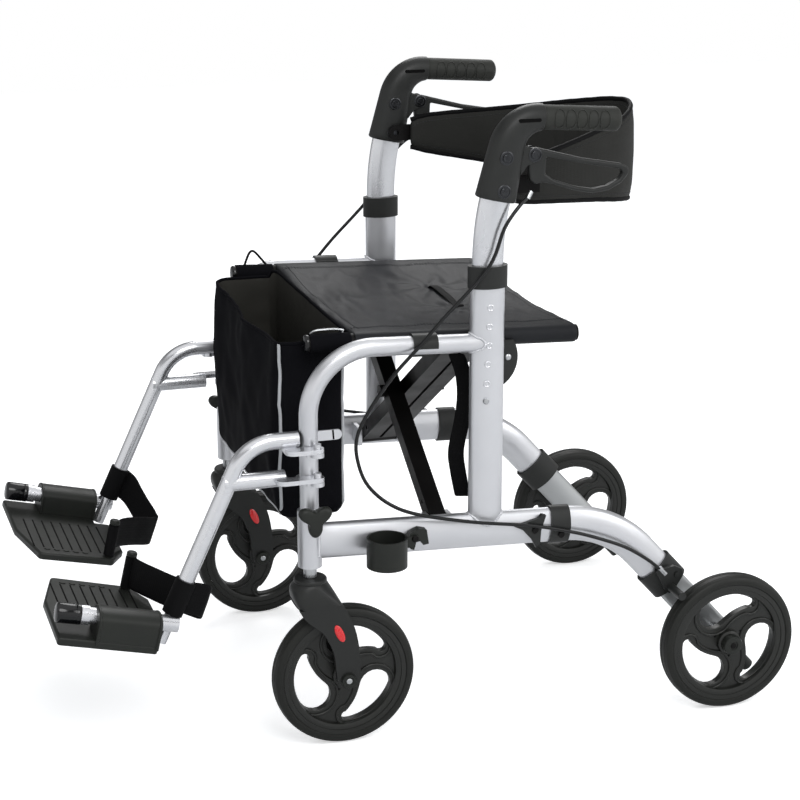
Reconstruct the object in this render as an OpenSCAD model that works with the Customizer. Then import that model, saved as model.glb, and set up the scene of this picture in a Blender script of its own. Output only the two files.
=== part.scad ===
// Folding rollator that turns into a transport chair.
// Two side frames joined by a scissor brace that carries a sling seat.
// Millimetres, +Z up, front (footrests) towards -Y, left side towards +X.

/* [Side frame] */
// Half the distance between the two side frames
half_w = 245; // [235:1:260]
// Long axis of the oval rail and post tube
oval_l = 50; // [44:1:54]
// Short axis of the oval rail and post tube
oval_w = 28; // [26:1:32]
// Wall of every tube
tube_wall = 2; // [1.6:0.1:2.4]
// Slope of the rail, the arm and the seat, down to the rear
slope = 2.2; // [0:0.1:4]
// Height of the rail's axis at the front post
rail_front_z = 297; // [285:1:310]
// Distance of the front post ahead of the handle post
front_reach = 249; // [235:1:265]
// Distance behind the handle post where the rear leg starts to bend
leg_bend_y = 120; // [105:1:135]
// Bend radius of the rear leg
leg_bend_r = 158; // [140:1:180]
// Angle of the rear leg below level
leg_angle = 48; // [44:1:52]
// Top of the handle post
post_top_z = 650; // [630:1:670]
// Height of the arm's axis at the handle post
arm_z = 553.5; // [540:0.5:570]
// Outside diameter of the arm tube
arm_d = 25.4; // [22:0.2:28]
// Bend radius of the arm
arm_bend_r = 88; // [75:1:100]

/* [Wheels] */
// Radius of all four wheels
wheel_r = 100; // [90:1:105]
// Width of the tyres
tyre_w = 30; // [26:1:34]
// Distance of a rear wheel's middle outside its side frame
rear_track = 53; // [50:1:60]
// Trail of the casters behind their stems
trail = 45; // [35:1:55]
// Radius of the wheel axles
axle_r = 5; // [4:0.5:6]
// Radius of the caster stem
stem_r = 6; // [5:0.5:7]

/* [Handles] */
// Lean of the handle above the bend of its tube
handle_lean = 12.5; // [8:0.5:16]
// Bend radius of the handle tube
handle_bend_r = 380; // [350:5:420]
// Height travel of the handles
handle_travel = 125; // [100:5:150]
// Radius of the elbow of the handle
elbow_r = 46; // [42:1:50]
// Length of the grip
grip_len = 112; // [95:1:125]
// Diameter of the grip
grip_d = 34; // [30:1:36]

/* [Seat] */
// Distance of the seat bars from the middle plane
bar_x = 212; // [204:1:216]
// Diameter of the seat bars
bar_d = 22; // [20:0.5:24]
// Front edge of the seat cloth ahead of the handle post
seat_front = 176; // [165:1:190]
// Rear edge of the seat cloth behind the handle post
seat_rear = 139; // [125:1:150]
// Sag of the seat cloth in the middle
seat_sag = 10; // [4:1:20]
// Height of the lower pivots of the scissor brace
brace_pivot_z = 290; // [284:1:296]
// Width along Y of the front member of the brace
brace_a_w = 24; // [20:1:28]
// Width along Y of the rear member of the brace
brace_b_w = 56; // [40:1:60]

/* [Bag and backrest] */
// Depth of the bag
bag_depth = 94; // [80:1:96]
// Height of the bag
bag_h = 250; // [220:1:260]
// Wall of the bag
bag_wall = 3; // [2:0.5:4]
// How far the backrest sweeps back
back_sweep = 260; // [230:1:280]
// Height of the backrest in the middle
back_h = 148; // [120:1:160]
// Thickness of the backrest
back_t = 16; // [12:1:20]

/* [Footrests] */
// Diameter of the hanger tube
hanger_d = 22.2; // [20:0.1:24]
// Angle of the hanger's leg below level
hanger_angle = 65; // [60:1:70]
// Bend radius of the hanger
hanger_bend_r = 60; // [50:1:70]
// Tilt of the footplates, front up
foot_tilt = 13; // [8:1:18]
// Width of a footplate inside its pivot bar
plate_w = 203; // [185:1:206]
// Thickness of a footplate
plate_t = 11; // [8:1:14]
// Drop of the footplate's top below its pivot bar
plate_drop = 24; // [22:1:28]

/* [Cane holder] */
// Inside radius of the cane cup
cup_r = 25; // [20:0.5:27]
// Inside depth of the cane cup
cup_depth = 38; // [30:1:45]
// Wall of the cane cup
cup_wall = 2.5; // [2:0.5:3]

/* [Hidden] */
$fn = 64;

// Clearances: running fit of a pin, free gap between separate pieces, room at a coped end
run_gap = 0.05;
free_gap = 0.3;
cope_gap = 0.3;

// Finishes
silver = "#c6c8cb";
grey_tube = "#8d9090";
charcoal = "#2e3133";
black = "#1c1d1f";
tread = "#3a3b38";

// Rail and rear leg, measured from the foot of the handle post
front_y = -front_reach;
function rail_z(y) = rail_front_z - (y - front_y) * tan(slope);
function arm_z_at(y) = arm_z - y * tan(slope);
rail_run = (leg_bend_y - front_y) / cos(slope);
leg_end_y = leg_bend_y + leg_bend_r * (sin(leg_angle) - sin(slope));
leg_end_z = rail_z(leg_bend_y) - leg_bend_r * (cos(slope) - cos(leg_angle));
leg_to_axle = (leg_end_z - wheel_r) / sin(leg_angle);
axle_y = leg_end_y + leg_to_axle * cos(leg_angle);
leg_collar_at = 55;
leg_collar_len = 40;
band_y = 107;
band_len = 28;
inner_l = oval_l - 2 * tube_wall - 2 * free_gap;
inner_w = oval_w - 2 * tube_wall - 2 * free_gap;
post_l = oval_l - 2;
post_w = oval_w - 1.2;
stay_l = post_l - 2 * tube_wall - 2 * free_gap;
stay_w = post_w - 2 * tube_wall - 2 * free_gap;

// Arm, front post and its socket
socket_r = arm_d / 2 + 3.7;
socket_top = rail_front_z + 45;
socket_bottom = rail_front_z - 35;
arm_turn = 90 + slope;
arm_run = front_reach / cos(slope) - arm_bend_r * tan(arm_turn / 2);
arm_corner_z = arm_z_at(front_y);
front_run = arm_corner_z - socket_bottom - arm_bend_r * tan(arm_turn / 2);

// Casters
fork_gap = tyre_w / 2 + 4;
fork_leg_t = 9;
crown_z = wheel_r * 2 + 6;
fork_top = socket_bottom - 16;
caster_y = front_y + trail;
hub_r = 17;
rim_r = wheel_r - 13;
rim_in = wheel_r - 27;
caster_turn = 304;
rear_turn = 329;

// Handles
collar_h = 30;
collar_wall = 3.5;
bend_start_z = post_top_z + collar_h / 2;
tube_foot_z = post_top_z - handle_travel - 85;
tube_bend_y = handle_bend_r * (1 - cos(handle_lean));
tube_bend_z = bend_start_z + handle_bend_r * sin(handle_lean);
handle_y = tube_bend_y;
handle_z = tube_bend_z;
handle_run = 72;
elbow_y = handle_y + handle_run * sin(handle_lean);
elbow_z = handle_z + handle_run * cos(handle_lean);
grip_tip = 94;
function elbow_at(h) = [0,
    elbow_y + elbow_r * (cos(handle_lean) - cos(h)),
    elbow_z + elbow_r * (sin(h) - sin(handle_lean))];
grip_at = elbow_at(grip_tip);
lever_y = elbow_y + 36;
lever_z = elbow_z - 12;
lever_t = 12;
lever_pin_r = 3;
bracket_y = handle_y + 9;
bracket_z = handle_z + 14;
bracket_pin_r = 4;
bracket_x = -oval_w / 2 - 7;
bracket_t = 3;

// Brake arm, placed along and across the rear leg from the axle
shoe_along = wheel_r + 9.4;
shoe_across = -4;
shoe_r = 6;
brake_pin_along = wheel_r + 18;
brake_pin_across = 15;
brake_x = oval_w / 2 + collar_wall + 1;
brake_t = 7;
brake_pin_r = 4;

// Seat, brace and saddles
bar_off = bar_x - half_w;
bar_front = -240;
bar_rear = seat_rear + 3;
sleeve_r = bar_d / 2 + 3;
brace_top_z = arm_z + 2;
brace_dx = 2 * bar_x;
brace_dz = brace_top_z - brace_pivot_z;
brace_ang = atan2(brace_dz, brace_dx);
brace_len = sqrt(brace_dx * brace_dx + brace_dz * brace_dz);
brace_t = 22;
brace_pin_r = 6;
brace_a_y = -57;
brace_b_y = brace_a_y + (brace_a_w + brace_b_w) / 2 + 1;
brace_mid_z = (brace_pivot_z + brace_top_z) / 2;
saddle_y = -90;
saddle_len = 34;
guard_t = 5;
guard_z = arm_z - 39.5;
lug_t = 6;

// Footrests
hinge_x = 22;
hinge_y = front_y + 6;
hinge_pin_r = 5;
hinge_t = 6;
hanger_z = 442;
branch_z = hanger_z - 52;
hinge_z = [branch_z - 2, hanger_z - 14];
hanger_start = front_y - arm_d / 2 - 2;
hanger_corner_y = front_y - 85;
hanger_tangent = hanger_bend_r * tan(hanger_angle / 2);
hanger_run = hanger_start - hanger_corner_y - hanger_tangent;
hanger_leg = 195;
branch_end = hanger_corner_y - (hanger_z - branch_z) / tan(hanger_angle) - 7;
tongue_l = 46;
tongue_t = 3;
foot_along = 261;
foot_y = hanger_corner_y - foot_along * cos(hanger_angle);
foot_z = hanger_z - foot_along * sin(hanger_angle);
foot_x = 8;
bar_len = 152;
foot_bar_r = 11;
foot_sleeve = [-100, -16];

// The object's origin is under the middle of its length
front_end = foot_y - bar_len * cos(foot_tilt) - foot_bar_r * sin(foot_tilt);
rear_end = axle_y + wheel_r;
post_y = -(front_end + rear_end) / 2;

// Frames of reference
module at_side(s) {
    mirror([s < 0 ? 1 : 0, 0, 0]) translate([half_w, post_y, 0]) children();
}

module in_middle() {
    translate([0, post_y, 0]) children();
}

// Along the rear leg: X outboard, Y from the axle up the leg, Z across it
module on_leg() {
    translate([0, axle_y, wheel_r]) rotate([180 - leg_angle, 0, 0]) mirror([0, 0, 1]) children();
}

// Along the footplate's bar: Y backwards, front up
module on_foot() {
    translate([foot_x, foot_y, foot_z]) rotate([-foot_tilt, 0, 0]) children();
}

// Outlines and sweeps
module oval(l, w) {
    end_r = 0.36 * w;
    a = l / 2 - end_r;
    big = (a * a + w * w / 4 - end_r * end_r) / (w - 2 * end_r);
    cut = a * big / (big - end_r);
    // The ends stand out a hair from the sides, so that their arcs cross instead of touching
    proud = 0.08;
    for (s = [-1, 1])
        translate([0, s * (a - proud)]) circle(end_r + proud);
    intersection() {
        square([w + 2, 2 * cut], center = true);
        translate([big - w / 2, 0]) circle(big);
        translate([w / 2 - big, 0]) circle(big);
    }
}

// The same oval as a polygon, for coping the end of one tube to another
function oval_points(l, w, steps) = let (
        end_r = 0.36 * w, a = l / 2 - end_r,
        big = (a * a + w * w / 4 - end_r * end_r) / (w - 2 * end_r),
        open = atan2(a, big - w / 2))
    concat(
        [for (k = [0 : steps]) let (t = -open + 2 * open * k / steps)
            [w / 2 - big + big * cos(t), big * sin(t)]],
        [for (k = [1 : steps - 1]) let (t = open + (180 - 2 * open) * k / steps)
            [end_r * cos(t), a + end_r * sin(t)]],
        [for (k = [0 : steps]) let (t = -open + 2 * open * k / steps)
            [big - w / 2 - big * cos(t), -big * sin(t)]],
        [for (k = [1 : steps - 1]) let (t = open + (180 - 2 * open) * k / steps)
            [-end_r * cos(t), -a - end_r * sin(t)]]);

module oval_ring(l, w, wall) {
    difference() {
        oval(l, w);
        oval(l - 2 * wall, w - 2 * wall);
    }
}

module ring(d, wall) {
    difference() {
        circle(d = d);
        circle(d = d - 2 * wall);
    }
}

// Sweeps the child outline along straights and bends in its own YZ plane.
// Straights after a bend are drawn down a little, as a bent tube's tail is
module run_along(steps, swage = 0.99, i = 0) {
    lap = i > 0 ? 1 : 0;
    if (i < len(steps)) {
        length = steps[i][0];
        r = steps[i][1];
        turn = steps[i][2];
        translate([0, 0, -lap]) linear_extrude(length + lap) scale(i > 0 ? swage : 1) children();
        translate([0, 0, length]) {
            if (turn != 0)
                translate([0, r, 0]) rotate([90, 0, -90]) rotate_extrude(angle = turn)
                    translate([r, 0]) rotate(90) children();
            translate([0, r * (1 - cos(turn)), r * sin(turn)]) rotate([-turn, 0, 0])
                run_along(steps, swage, i + 1) children();
        }
    }
}

// Closed skin over rings that each have the same number of points
module skin(rings) {
    n = len(rings[0]);
    m = len(rings);
    points = [for (r = rings) each r];
    sides = [for (k = [0 : m - 2], i = [0 : n - 1])
        let (j = (i + 1) % n) each [
            [k * n + i, (k + 1) * n + i, (k + 1) * n + j],
            [k * n + i, (k + 1) * n + j, k * n + j]
        ]];
    polyhedron(points, concat([[for (i = [0 : n - 1]) i]], sides,
        [[for (i = [n - 1 : -1 : 0]) (m - 1) * n + i]]), convexity = 6);
}

function unit(v) = v / norm(v);

// Smooth curve through hand-chosen points, with a number of steps in each stretch
function curve_point(p, i, t) = let (
        a = p[max(i - 1, 0)], b = p[i], c = p[i + 1], d = p[min(i + 2, len(p) - 1)])
    0.5 * (2 * b + (c - a) * t + (2 * a - 5 * b + 4 * c - d) * t * t
        + (3 * b - a - 3 * c + d) * t * t * t);
function curve(p, steps) = concat(
    [for (i = [0 : len(p) - 2], k = [0 : steps - 1]) curve_point(p, i, k / steps)],
    [p[len(p) - 1]]);

// Rings of a round cord around a path that never runs along X
function cord_rings(path, r, sides) = [for (i = [0 : len(path) - 1])
    let (d = unit(path[min(i + 1, len(path) - 1)] - path[max(i - 1, 0)]),
        u = unit(cross([1, 0, 0], d)), v = cross(d, u))
    [for (k = [0 : sides - 1]) path[i] + r * (cos(360 * k / sides) * u + sin(360 * k / sides) * v)]];

// Rings of a flat strap: width along the given direction at each point
function strap_ring(c, across, up, t, h) = [
    c - across * t / 2 - up * h / 2, c + across * t / 2 - up * h / 2,
    c + across * t / 2 + up * h / 2, c - across * t / 2 + up * h / 2];

// Pieces of the side frame
module rail_solid() {
    translate([0, front_y, rail_front_z]) rotate([-90 - slope, 0, 0])
        linear_extrude(rail_run) polygon(oval_points(oval_l + cope_gap, oval_w + cope_gap, 12));
}

module brace_lugs(y, w) {
    reach = oval_w / 2 - 1;
    for (s = [-1, 1])
        translate([bar_off - 14, y + s * (w / 2 + 1 + lug_t / 2) - lug_t / 2, brace_pivot_z - 14])
            cube([-bar_off + 14 - reach, lug_t, 28]);
    translate([bar_off, y, brace_pivot_z]) rotate([90, 0, 0])
        cylinder(r = brace_pin_r, h = w + 2 + lug_t, center = true);
}

module side_rail(s) {
    color(silver) at_side(s) {
        difference() {
            translate([0, front_y, rail_front_z]) rotate([-90 - slope, 0, 0])
                linear_extrude(60) oval_ring(oval_l, oval_w, tube_wall);
            translate([0, front_y, socket_bottom - 10]) linear_extrude(120)
                polygon([for (k = [0 : 35]) (1.005 * socket_r + run_gap) * [cos(10 * k), sin(10 * k)]]);
        }
        translate([0, front_y, rail_front_z]) rotate([-90 - slope, 0, 0]) translate([0, 0, 60])
            run_along([[rail_run - 60, leg_bend_r, leg_angle - slope], [leg_collar_at + 12, 0, 0]])
                oval_ring(oval_l, oval_w, tube_wall);
        translate([0, front_y, socket_bottom]) linear_extrude(socket_top - socket_bottom)
            ring(2 * socket_r, socket_r - arm_d / 2 - 0.1);
        if (s > 0)
            brace_lugs(brace_a_y, brace_a_w);
        else
            brace_lugs(brace_b_y, brace_b_w);
    }
}

module post(s) {
    color(silver) at_side(s) difference() {
        translate([0, 0, rail_z(0)]) linear_extrude(post_top_z - rail_z(0)) oval_ring(post_l, post_w, tube_wall);
        rail_solid();
    }
}

module arm_start() {
    translate([0, 0, arm_z]) rotate([-90 + slope, 0, 180]) children();
}

module arm(s) {
    color(silver) at_side(s) {
        difference() {
            arm_start() linear_extrude(60) ring(arm_d, tube_wall);
            translate([0, 0, arm_z - 50]) linear_extrude(100)
                polygon(oval_points(post_l + cope_gap, post_w + cope_gap, 12));
        }
        arm_start() translate([0, 0, 60])
            run_along([[arm_run - 60, arm_bend_r, arm_turn], [front_run, 0, 0]], 0.999) ring(arm_d, tube_wall);
        // Hinge plates and pins of the footrest hanger
        for (z = hinge_z) {
            translate([0, front_y, z - hinge_t]) linear_extrude(hinge_t) ring(arm_d + 10, 6);
            translate([arm_d / 2 + 1, front_y - 8, z - hinge_t]) cube([hinge_x - arm_d / 2 - 1, 16, hinge_t]);
            translate([hinge_x, hinge_y, z - hinge_t]) cylinder(r = 9, h = hinge_t);
            translate([hinge_x, hinge_y, z - 1]) cylinder(r = hinge_pin_r, h = hinge_t + 7);
        }
        // Tongue of the hanger's latch
        translate([-tongue_t / 2, front_y, hanger_z - 5]) rotate([90, 0, 90]) linear_extrude(tongue_t)
            polygon(concat([[arm_d / 2 - 1.5, 0]],
                [for (k = [0 : 8]) [tongue_l - 7 + 7 * sin(22.5 * k), 7 - 7 * cos(22.5 * k)]],
                [[arm_d / 2 - 1.5, 14]]));
    }
}

module rear_leg(s) {
    color(grey_tube) at_side(s) {
        difference() {
            on_leg() {
                rotate([-90, 0, 0]) translate([0, 0, -14])
                    linear_extrude(leg_to_axle - leg_collar_at + 34) oval_ring(inner_l, inner_w, tube_wall);
                rotate([90, 0, 0]) translate([0, 0, 8]) cylinder(r = 8, h = 84);
                rotate([90, 0, 0]) translate([0, 0, 8])
                    linear_extrude(6) oval(inner_l, inner_w);
            }
            translate([0, axle_y, wheel_r]) rotate([0, 90, 0])
                cylinder(r = axle_r + run_gap, h = 2 * oval_w, center = true);
        }
    }
}

module oval_clamp(l, w, hole_l, hole_w, h) {
    linear_extrude(h) difference() {
        oval(l, w);
        oval(hole_l, hole_w);
    }
}

module frame_fittings(s) {
    color(charcoal) at_side(s) {
        // Collar on top of the post, with a lip round the handle tube
        translate([0, 0, post_top_z - collar_h / 2 - 5])
            oval_clamp(oval_l + 5, oval_w + 7, post_l + 0.1, post_w + 0.1, collar_h / 2 + 5);
        translate([0, 0, post_top_z])
            oval_clamp(oval_l + 5, oval_w + 7, stay_l + 2 * free_gap, stay_w + 2 * free_gap, collar_h / 2 - 5);
        // Strap band on the rail
        translate([0, front_y, rail_front_z]) rotate([-90 - slope, 0, 0])
            translate([0, 0, (band_y - front_y) / cos(slope) - band_len / 2])
            oval_clamp(oval_l + 5, oval_w + 8, oval_l + 0.1, oval_w + 0.1, band_len);
        // Collar where the lower leg leaves the rail
        on_leg() rotate([-90, 0, 0]) translate([0, 0, leg_to_axle - leg_collar_at - 12]) {
            oval_clamp(oval_l + 8, oval_w + 2 * collar_wall, oval_l + 0.1, oval_w + 0.1, leg_collar_len - 8);
            translate([0, 0, -8])
                oval_clamp(oval_l + 8, oval_w + 2 * collar_wall, inner_l + 0.1, inner_w + 0.1, 8);
        }
        // Pivot stud of the brake arm
        on_leg() translate([oval_w / 2 + 1, brake_pin_along, brake_pin_across]) rotate([0, 90, 0])
            cylinder(r = brake_pin_r, h = collar_wall + brake_t + 3);
        // Cable guide on the rail
        translate([oval_w / 2 + run_gap, 67, rail_z(67)]) rotate([0, 90, 0]) rotate(90) linear_extrude(6)
            polygon([[-30, 8], [4, 16], [10, 22], [16, 20], [9, -2], [8, -20], [2, -26], [-4, -14], [-18, 2]]);
    }
}

// Three-lobed hand knob that clamps the front post in its socket
module clamp_knob(s) {
    lobes = [for (k = [0 : 71]) let (r = 18 + 7 * cos(15 * k)) [r * cos(5 * k), r * sin(5 * k)]];
    color(black) at_side(s) translate([socket_r + free_gap, front_y, socket_top - 4]) rotate([0, 90, 0]) {
        cylinder(r = 8, h = 6);
        translate([0, 0, 5]) linear_extrude(14) polygon(lobes);
        translate([0, 0, 18]) cylinder(r = 9, h = 3);
    }
}

module stem_bearing(s) {
    color("#b9bbbe") at_side(s) translate([0, front_y, socket_bottom]) difference() {
        cylinder(d = arm_d - 2 * tube_wall - 0.1, h = 40);
        translate([0, 0, -1]) cylinder(r = stem_r + run_gap, h = 42);
    }
}

// Casters
module fork_outline() {
    polygon([[-27, 36], [-29, 26], [-25, 10], [-14, -12], [10, -34], [24, -62], [28, -90], [31, -108],
        [40, -118], [52, -118], [61, -108], [62, -76], [55, -32], [36, 10], [26, 30], [24, 36]]);
}

module caster_fork(s) {
    color(charcoal) at_side(s) difference() {
        union() {
            for (x = [-fork_gap - fork_leg_t, fork_gap])
                translate([x, front_y, crown_z]) rotate([90, 0, 90]) linear_extrude(fork_leg_t) fork_outline();
            intersection() {
                translate([-fork_gap - 1, front_y, crown_z]) rotate([90, 0, 90])
                    linear_extrude(2 * fork_gap + 2) fork_outline();
                translate([-60, front_y - 60, crown_z]) cube([120, 140, 60]);
            }
            translate([0, front_y, crown_z + 20]) cylinder(r = 23, h = fork_top - crown_z - 20);
        }
        translate([0, front_y, crown_z + 8]) cylinder(r = stem_r + run_gap, h = 60);
        translate([0, caster_y, wheel_r]) rotate([0, 90, 0])
            cylinder(r = axle_r + run_gap, h = 120, center = true);
    }
}

module caster_bolts(s) {
    color("#8f9194") at_side(s) {
        translate([0, front_y, crown_z + 8 + run_gap]) cylinder(r = stem_r, h = 92);
        translate([0, front_y, fork_top + 1]) cylinder(r = 9, h = socket_bottom - fork_top - 2);
        translate([0, caster_y, wheel_r]) rotate([0, 90, 0]) {
            cylinder(r = axle_r, h = 2 * (fork_gap + fork_leg_t), center = true);
            for (z = [-fork_gap - fork_leg_t - 4, fork_gap + fork_leg_t])
                translate([0, 0, z]) cylinder(r = 8, h = 4);
        }
    }
}

// Comma-shaped opening between two spokes of a wheel, from its round head to its tip
module spoke_gap() {
    steps = 14;
    sweep = 62;
    head_r = 0.22 * wheel_r;
    tip_r = 0.065 * wheel_r;
    function low(t) = wheel_r * (0.275 + 0.29 * pow(t, 1.9));
    function high(t) = wheel_r * (0.715 - 0.02 * t * t);
    function at(r, a) = r * [cos(a), sin(a)];
    head = at((low(0) + high(0)) / 2, 0);
    tip = at((low(1) + high(1)) / 2, -sweep);
    polygon(concat(
        [for (k = [0 : steps]) at(low(k / steps), -sweep * k / steps)],
        [for (k = [1 : 5]) tip + at(tip_r, 180 - sweep + 180 * k / 6)],
        [for (k = [steps : -1 : 0]) at(high(k / steps), -sweep * k / steps)],
        [for (k = [1 : 9]) head + at(head_r, 180 * k / 10)]));
}

module rim(turn) {
    rotate([0, 90, 0]) difference() {
        union() {
            translate([0, 0, -6]) linear_extrude(12) difference() {
                circle(rim_in + 2);
                for (k = [0 : 2])
                    rotate(120 * k + turn) spoke_gap();
            }
            rotate_extrude() translate([rim_in, -tyre_w / 2 + 3]) square([rim_r - rim_in, tyre_w - 6]);
            cylinder(r = hub_r, h = tyre_w + 4, center = true);
        }
        cylinder(r = axle_r + run_gap, h = 80, center = true);
    }
}

module tyre() {
    crown = 23;
    rotate([0, 90, 0]) rotate_extrude($fn = 96) intersection() {
        translate([rim_r + 0.05, -tyre_w / 2]) square([wheel_r - rim_r, tyre_w]);
        translate([wheel_r - crown, 0]) circle(crown);
    }
}

module caster_rim(s) { color(tread) at_side(s) translate([0, caster_y, wheel_r]) rim(caster_turn); }

module caster_tyre(s) { color(tread) at_side(s) translate([0, caster_y, wheel_r]) tyre(); }

module rear_rim(s) { color(tread) at_side(s) translate([rear_track, axle_y, wheel_r]) rim(rear_turn); }

module rear_tyre(s) { color(tread) at_side(s) translate([rear_track, axle_y, wheel_r]) tyre(); }

module rear_axle(s) {
    hub_in = rear_track - tyre_w / 2 - 2;
    color("#8f9194") at_side(s) translate([0, axle_y, wheel_r]) rotate([0, 90, 0]) {
        translate([0, 0, -oval_w / 2]) cylinder(r = axle_r, h = oval_w / 2 + rear_track + tyre_w / 2 + 6);
        translate([0, 0, inner_w / 2 + 0.2]) cylinder(r = 10, h = hub_in - inner_w / 2 - 0.2 - free_gap);
        translate([0, 0, rear_track + tyre_w / 2 + 2 + free_gap]) cylinder(r = 12, h = 7);
        translate([0, 0, -oval_w / 2 - 4]) cylinder(r = 8, h = oval_w / 2 - inner_w / 2 + 3.8);
    }
}

module brake_arm(s) {
    color(charcoal) at_side(s) on_leg() {
        difference() {
            translate([brake_x, 0, 0]) rotate([90, 0, 90]) linear_extrude(brake_t)
                polygon([[wheel_r + 4, -12], [wheel_r + 12, -13], [wheel_r + 40, -6], [wheel_r + 43, 0],
                    [wheel_r + 30, 20], [wheel_r + 18, 25], [wheel_r + 9, 20], [wheel_r + 2.6, -2]]);
            translate([0, brake_pin_along, brake_pin_across]) rotate([0, 90, 0])
                cylinder(r = brake_pin_r + run_gap, h = 80, center = true);
        }
        translate([brake_x + brake_t - 1, shoe_along, shoe_across]) rotate([0, 90, 0])
            cylinder(r = shoe_r, h = rear_track + tyre_w / 2 - 3 - brake_x - brake_t);
    }
}

// Handles
module handle_tube(s) {
    color("#d9dadd") at_side(s) translate([0, 0, tube_foot_z])
        run_along([[bend_start_z - tube_foot_z, handle_bend_r, handle_lean], [44, 0, 0]])
            oval_ring(stay_l, stay_w, tube_wall);
}

module handle_tube_hole() {
    translate([0, handle_y, handle_z]) rotate([-handle_lean, 0, 0]) translate([0, 0, -6])
        linear_extrude(50.2) oval(stay_l + 0.1, stay_w + 0.1);
}

function handle_ring(c, h, deep, wide) = [for (k = [0 : 23])
    c + [wide * cos(15 * k), deep * sin(15 * k) * cos(h), -deep * sin(15 * k) * sin(h)]];
handle_rings = concat(
    [for (k = [0 : 3])
        handle_ring([0, handle_y, handle_z] + handle_run * k / 4 * [0, sin(handle_lean), cos(handle_lean)],
        handle_lean, 28 - k, 18)],
    [for (k = [0 : 8]) let (h = handle_lean + (grip_tip - handle_lean) * k / 8)
        handle_ring(elbow_at(h), h, 24 - 6 * k / 8, 18 - 0.5 * k / 8)]);

module handle(s) {
    ear = [[lever_y - 19.5, lever_z + 14], [lever_y - 19.5, lever_z - 26], [lever_y - 10, lever_z - 14],
        [lever_y + 5, lever_z - 7], [lever_y + 8, lever_z + 2], [lever_y, lever_z + 8]];
    color(charcoal) at_side(s) {
        difference() {
            skin(handle_rings);
            handle_tube_hole();
        }
        // Spigot inside the grip
        translate(grip_at) rotate([-grip_tip, 0, 0]) translate([0, 0, -2]) cylinder(d = 20, h = grip_len - 10);
        // Ears and pin of the lever
        for (x = [-lever_t / 2 - 4.3, lever_t / 2 + 0.3])
            translate([x, 0, 0]) rotate([90, 0, 90]) linear_extrude(4) polygon(ear);
        translate([0, lever_y, lever_z]) rotate([0, 90, 0])
            cylinder(r = lever_pin_r, h = lever_t + 4, center = true);
        // Pivot pin of the backrest bracket
        translate([bracket_x - bracket_t - 2, bracket_y, bracket_z]) rotate([0, 90, 0])
            cylinder(r = bracket_pin_r, h = -bracket_x + bracket_t + 2 - stay_w / 2 - 1);
    }
}

module grip(s) {
    end_r = 6;
    color(black) at_side(s) translate(grip_at) rotate([-grip_tip, 0, 0]) translate([0, 0, 0.15]) difference() {
        union() {
            cylinder(d = grip_d, h = grip_len - end_r);
            translate([0, 0, grip_len - end_r]) rotate_extrude() intersection() {
                union() {
                    square([grip_d / 2 - end_r, end_r]);
                    translate([grip_d / 2 - end_r, 0]) circle(end_r);
                }
                square(grip_d);
            }
        }
        translate([0, 0, -1]) cylinder(d = 20.1, h = grip_len - 11);
    }
}

// Loop-shaped brake lever, in the plane of the side frame
module lever_outline() {
    difference() {
        polygon([[-7, 4], [-3, 8], [6, 8], [70, -9], [126, -19], [136, -24], [136, -33], [126, -45],
            [108, -54], [86, -57], [60, -52], [30, -42], [14, -38], [2, -40], [-5, -34], [-8, -10]]);
        polygon([[18, -4], [70, -16], [124, -26], [128, -32], [122, -40], [106, -48], [86, -51], [60, -46],
            [30, -36], [17, -27]]);
        circle(lever_pin_r + run_gap);
    }
}

module brake_lever(s) {
    color(charcoal) at_side(s) translate([-lever_t / 2, lever_y, lever_z]) rotate([90, 0, 90])
        linear_extrude(lever_t) lever_outline();
}

// Brake cable: from the lever past the arm and along the rail to the brake arm
cable_r = 2.5;
cable_side = oval_w / 2 + cable_r + 5.5;
cable_points = [
    [4, lever_y - 2.6, lever_z - 53.5], [12, lever_y - 20.6, lever_z - 65.5],
    [cable_side - 5, handle_y + 8, handle_z - 35], [cable_side - 1, -7, post_top_z + 10],
    [cable_side - 1, -71, arm_z_at(-71) + 37.8], [cable_side - 2, -100, arm_z_at(-100) + 4.7],
    [arm_d / 2 + 3.8, -135, arm_z_at(-135) - 34.7], [cable_side - 5, front_y + 80, arm_z_at(0) - 74.5],
    [cable_side - 5, front_y + 62, arm_z_at(0) - 111.5], [cable_side - 5, front_y + 63, rail_front_z + 111],
    [cable_side - 5, front_y + 77, rail_front_z + 76], [cable_side - 5.7, front_y + 108, rail_front_z + 46],
    [cable_side - 2, -100, rail_z(-100) + 33.7], [cable_side, -23, rail_z(-23) + 18.7],
    [cable_side + 1, 61, rail_z(61) + 7.9], [cable_side, leg_bend_y - 2, rail_z(leg_bend_y) - 4.8],
    [cable_side, leg_bend_y + 39, rail_z(leg_bend_y) - 18.8], [cable_side, leg_end_y - 28.3, leg_end_z + 14.3],
    [cable_side, leg_end_y + 6.7, leg_end_z - 8.7], [cable_side, leg_end_y + 22.5, leg_end_z - 22.5]];

module brake_cable(s) {
    color(black) at_side(s) skin(cord_rings(curve(cable_points, 4), cable_r, 8));
}

// Footrests
module hanger_sweep() {
    translate([0, hanger_start, hanger_z]) rotate([-90, 0, 180])
        run_along([[hanger_run, hanger_bend_r, hanger_angle], [hanger_leg, 0, 0]]) children();
}

// Plate from the hanger round the outside of the front post to its hinge pin
module hinge_plate(y) {
    out = hinge_x + 9;
    function arc(x, y, r, from) = [for (k = [0 : 8]) [x, y] + r * [cos(from + k * 22.5), sin(from + k * 22.5)]];
    function corner(x, y, r, from) = [for (k = [0 : 6]) [x, y] + r * [cos(from + k * 15), sin(from + k * 15)]];
    linear_extrude(hinge_t) polygon(concat(
        arc(hinge_x, hinge_y, 9, 0), [[arm_d / 2 + 1, hinge_y - 1], [arm_d / 2 + 1, y + 18]],
        arc(0, y + 9, 9, 90), corner(out - 12, y + 12, 12, 270)));
}

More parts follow.
